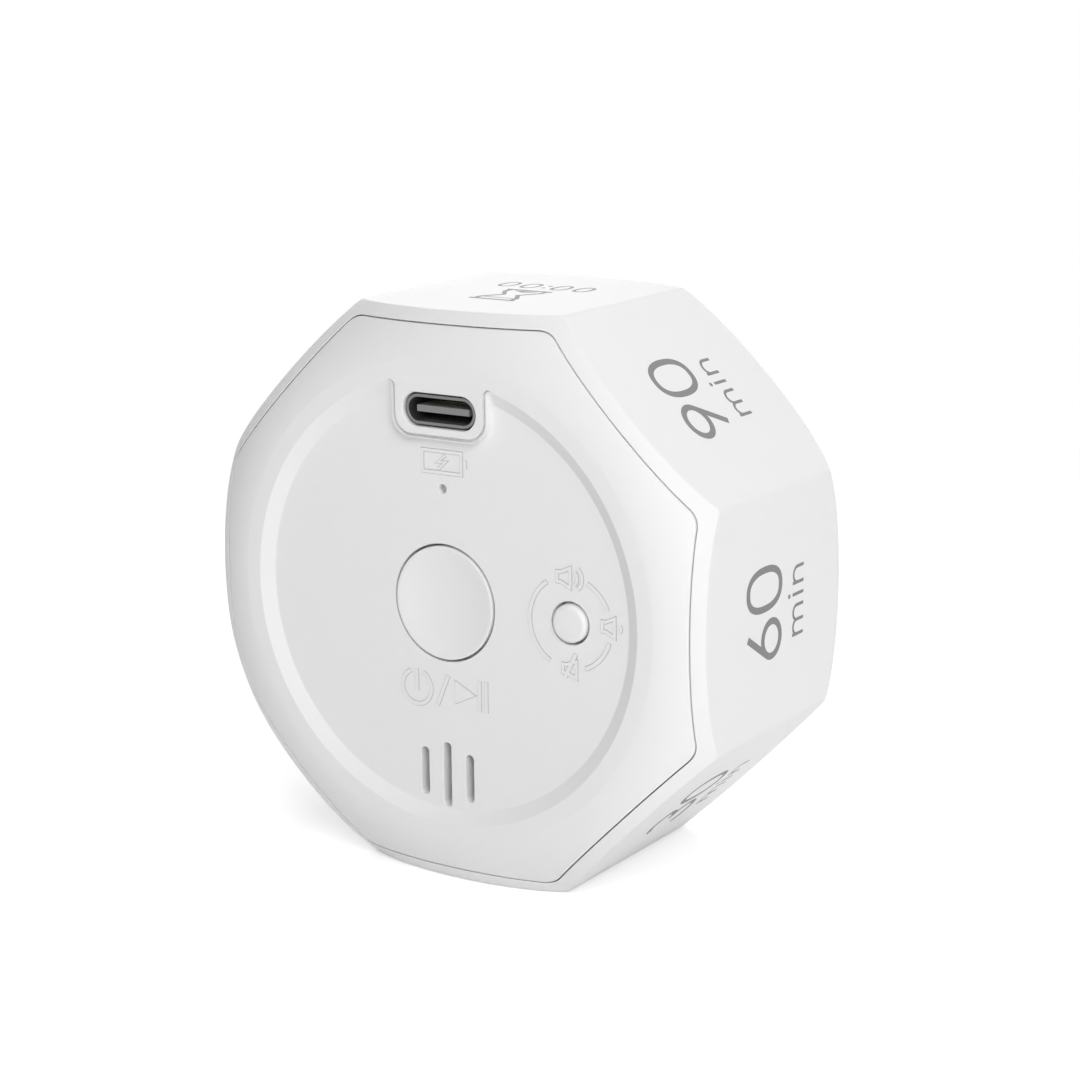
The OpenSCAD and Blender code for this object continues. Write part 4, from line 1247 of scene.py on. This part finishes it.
def floor_look():
    """Pale surface that shows the shadow near the timer and runs out to plain white."""
    look = material("pale_floor")
    look.set(Base_Color=look.tint(look.noise(40), (0.95, 0.95, 0.95), (0.97, 0.97, 0.97)))
    look.set(Roughness=0.7, Specular_IOR_Level=0.2)
    shown = shown_rays(look)
    look.set(Emission_Color=(1, 1, 1, 1), Emission_Strength=look.math("MULTIPLY", shown, FLOOR_LIFT))
    reach = look.add("ShaderNodeVectorMath", Vector=look.space)
    reach.operation = "LENGTH"
    away = look.add("ShaderNodeMapRange", Value=reach.outputs["Value"])
    away.inputs["From Min"].default_value = SHADOW_REACH
    away.inputs["From Max"].default_value = WHITE_REACH
    away.interpolation_type = "SMOOTHSTEP"
    white = look.add("ShaderNodeEmission", Color=(1, 1, 1, 1), Strength=1.0)
    both = look.add("ShaderNodeMixShader", Fac=look.math("MULTIPLY", away.outputs["Result"], shown))
    look.feed(both.inputs[1], look.shader.outputs["BSDF"])
    look.feed(both.inputs[2], white.outputs["Emission"])
    look.feed(look.nodes["Material Output"].inputs["Surface"], both.outputs["Shader"])
    return look.made


def floor():
    """Round floor just below the timer."""
    bpy.ops.mesh.primitive_circle_add(vertices=FLOOR_STEPS, radius=FLOOR_R, fill_type="NGON")
    made = bpy.context.object
    made.name = "floor"
    made.location.z = -FLOOR_DROP * MM
    made.data.materials.append(floor_look())


def world():
    """Soft light from all round, stronger from one side, with a white background behind it."""
    look = Look(bpy.data.worlds.new("studio"), "Background")
    bpy.context.scene.world = look.made
    lean = look.add("ShaderNodeVectorMath")
    lean.operation = "DOT_PRODUCT"
    look.feed(lean.inputs[0], look.coordinates.outputs["Generated"])
    look.feed(lean.inputs[1], WORLD_SIDE)
    side = look.math("MAXIMUM", lean.outputs["Value"], 0.0)
    light = look.math("ADD", look.math("MULTIPLY", side, WORLD_SIDE_LIGHT), WORLD_LIGHT)
    look.set(Color=(1, 1, 1, 1), Strength=look.between(shown_rays(look), light, 1.0))


def softbox(name, azimuth, elevation, level):
    """Square area lamp around the timer; level 1 would show a facing white surface as white."""
    turn, rise = math.radians(azimuth), math.radians(elevation)
    way = Vector((math.sin(turn) * math.cos(rise), -math.cos(turn) * math.cos(rise), math.sin(rise)))
    lamp = bpy.data.lights.new(name, "AREA")
    lamp.size = LAMP_SIZE
    lamp.energy = level * (math.pi * LAMP_DISTANCE)**2
    made = bpy.data.objects.new(name, lamp)
    bpy.context.scene.collection.objects.link(made)
    made.location = Vector((0, 0, HALF_FLATS * MM)) + way * LAMP_DISTANCE
    made.rotation_euler = (-way).to_track_quat("-Z", "Y").to_euler()


def camera():
    """Camera at the photograph's viewpoint."""
    data = bpy.data.cameras.new("camera")
    data.sensor_fit = "HORIZONTAL"
    data.sensor_width = CAMERA_SENSOR
    data.lens = CAMERA_LENS
    data.clip_start = CAMERA_NEAR
    made = bpy.data.objects.new("camera", data)
    bpy.context.scene.collection.objects.link(made)
    made.location = CAMERA_AT * MM
    aim = (CAMERA_AIM - CAMERA_AT).to_track_quat("-Z", "Y")
    made.rotation_euler = (aim @ Quaternion((0, 0, 1), math.radians(CAMERA_ROLL))).to_euler()
    bpy.context.scene.camera = made


camera()
looks = make_looks()
dress_nodes(looks)
housing(looks["white_plastic"])
back_cover(looks["white_plastic"])
power_button(looks["white_plastic"])
volume_button(looks["white_plastic"])
port_shell(looks["port_steel"])
display_window(looks["smoked_window"])
snap_dome("power", looks["spring_steel"])
snap_dome("volume", looks["spring_steel"])
disc_marks(looks["white_plastic"], looks["sign_edge_painted_shade"])
facet_prints(looks["ink"])
floor()
world()
for name, (azimuth, elevation, level) in LAMPS.items():
    softbox(name, azimuth, elevation, level)
bpy.context.scene.view_settings.view_transform = "Standard"
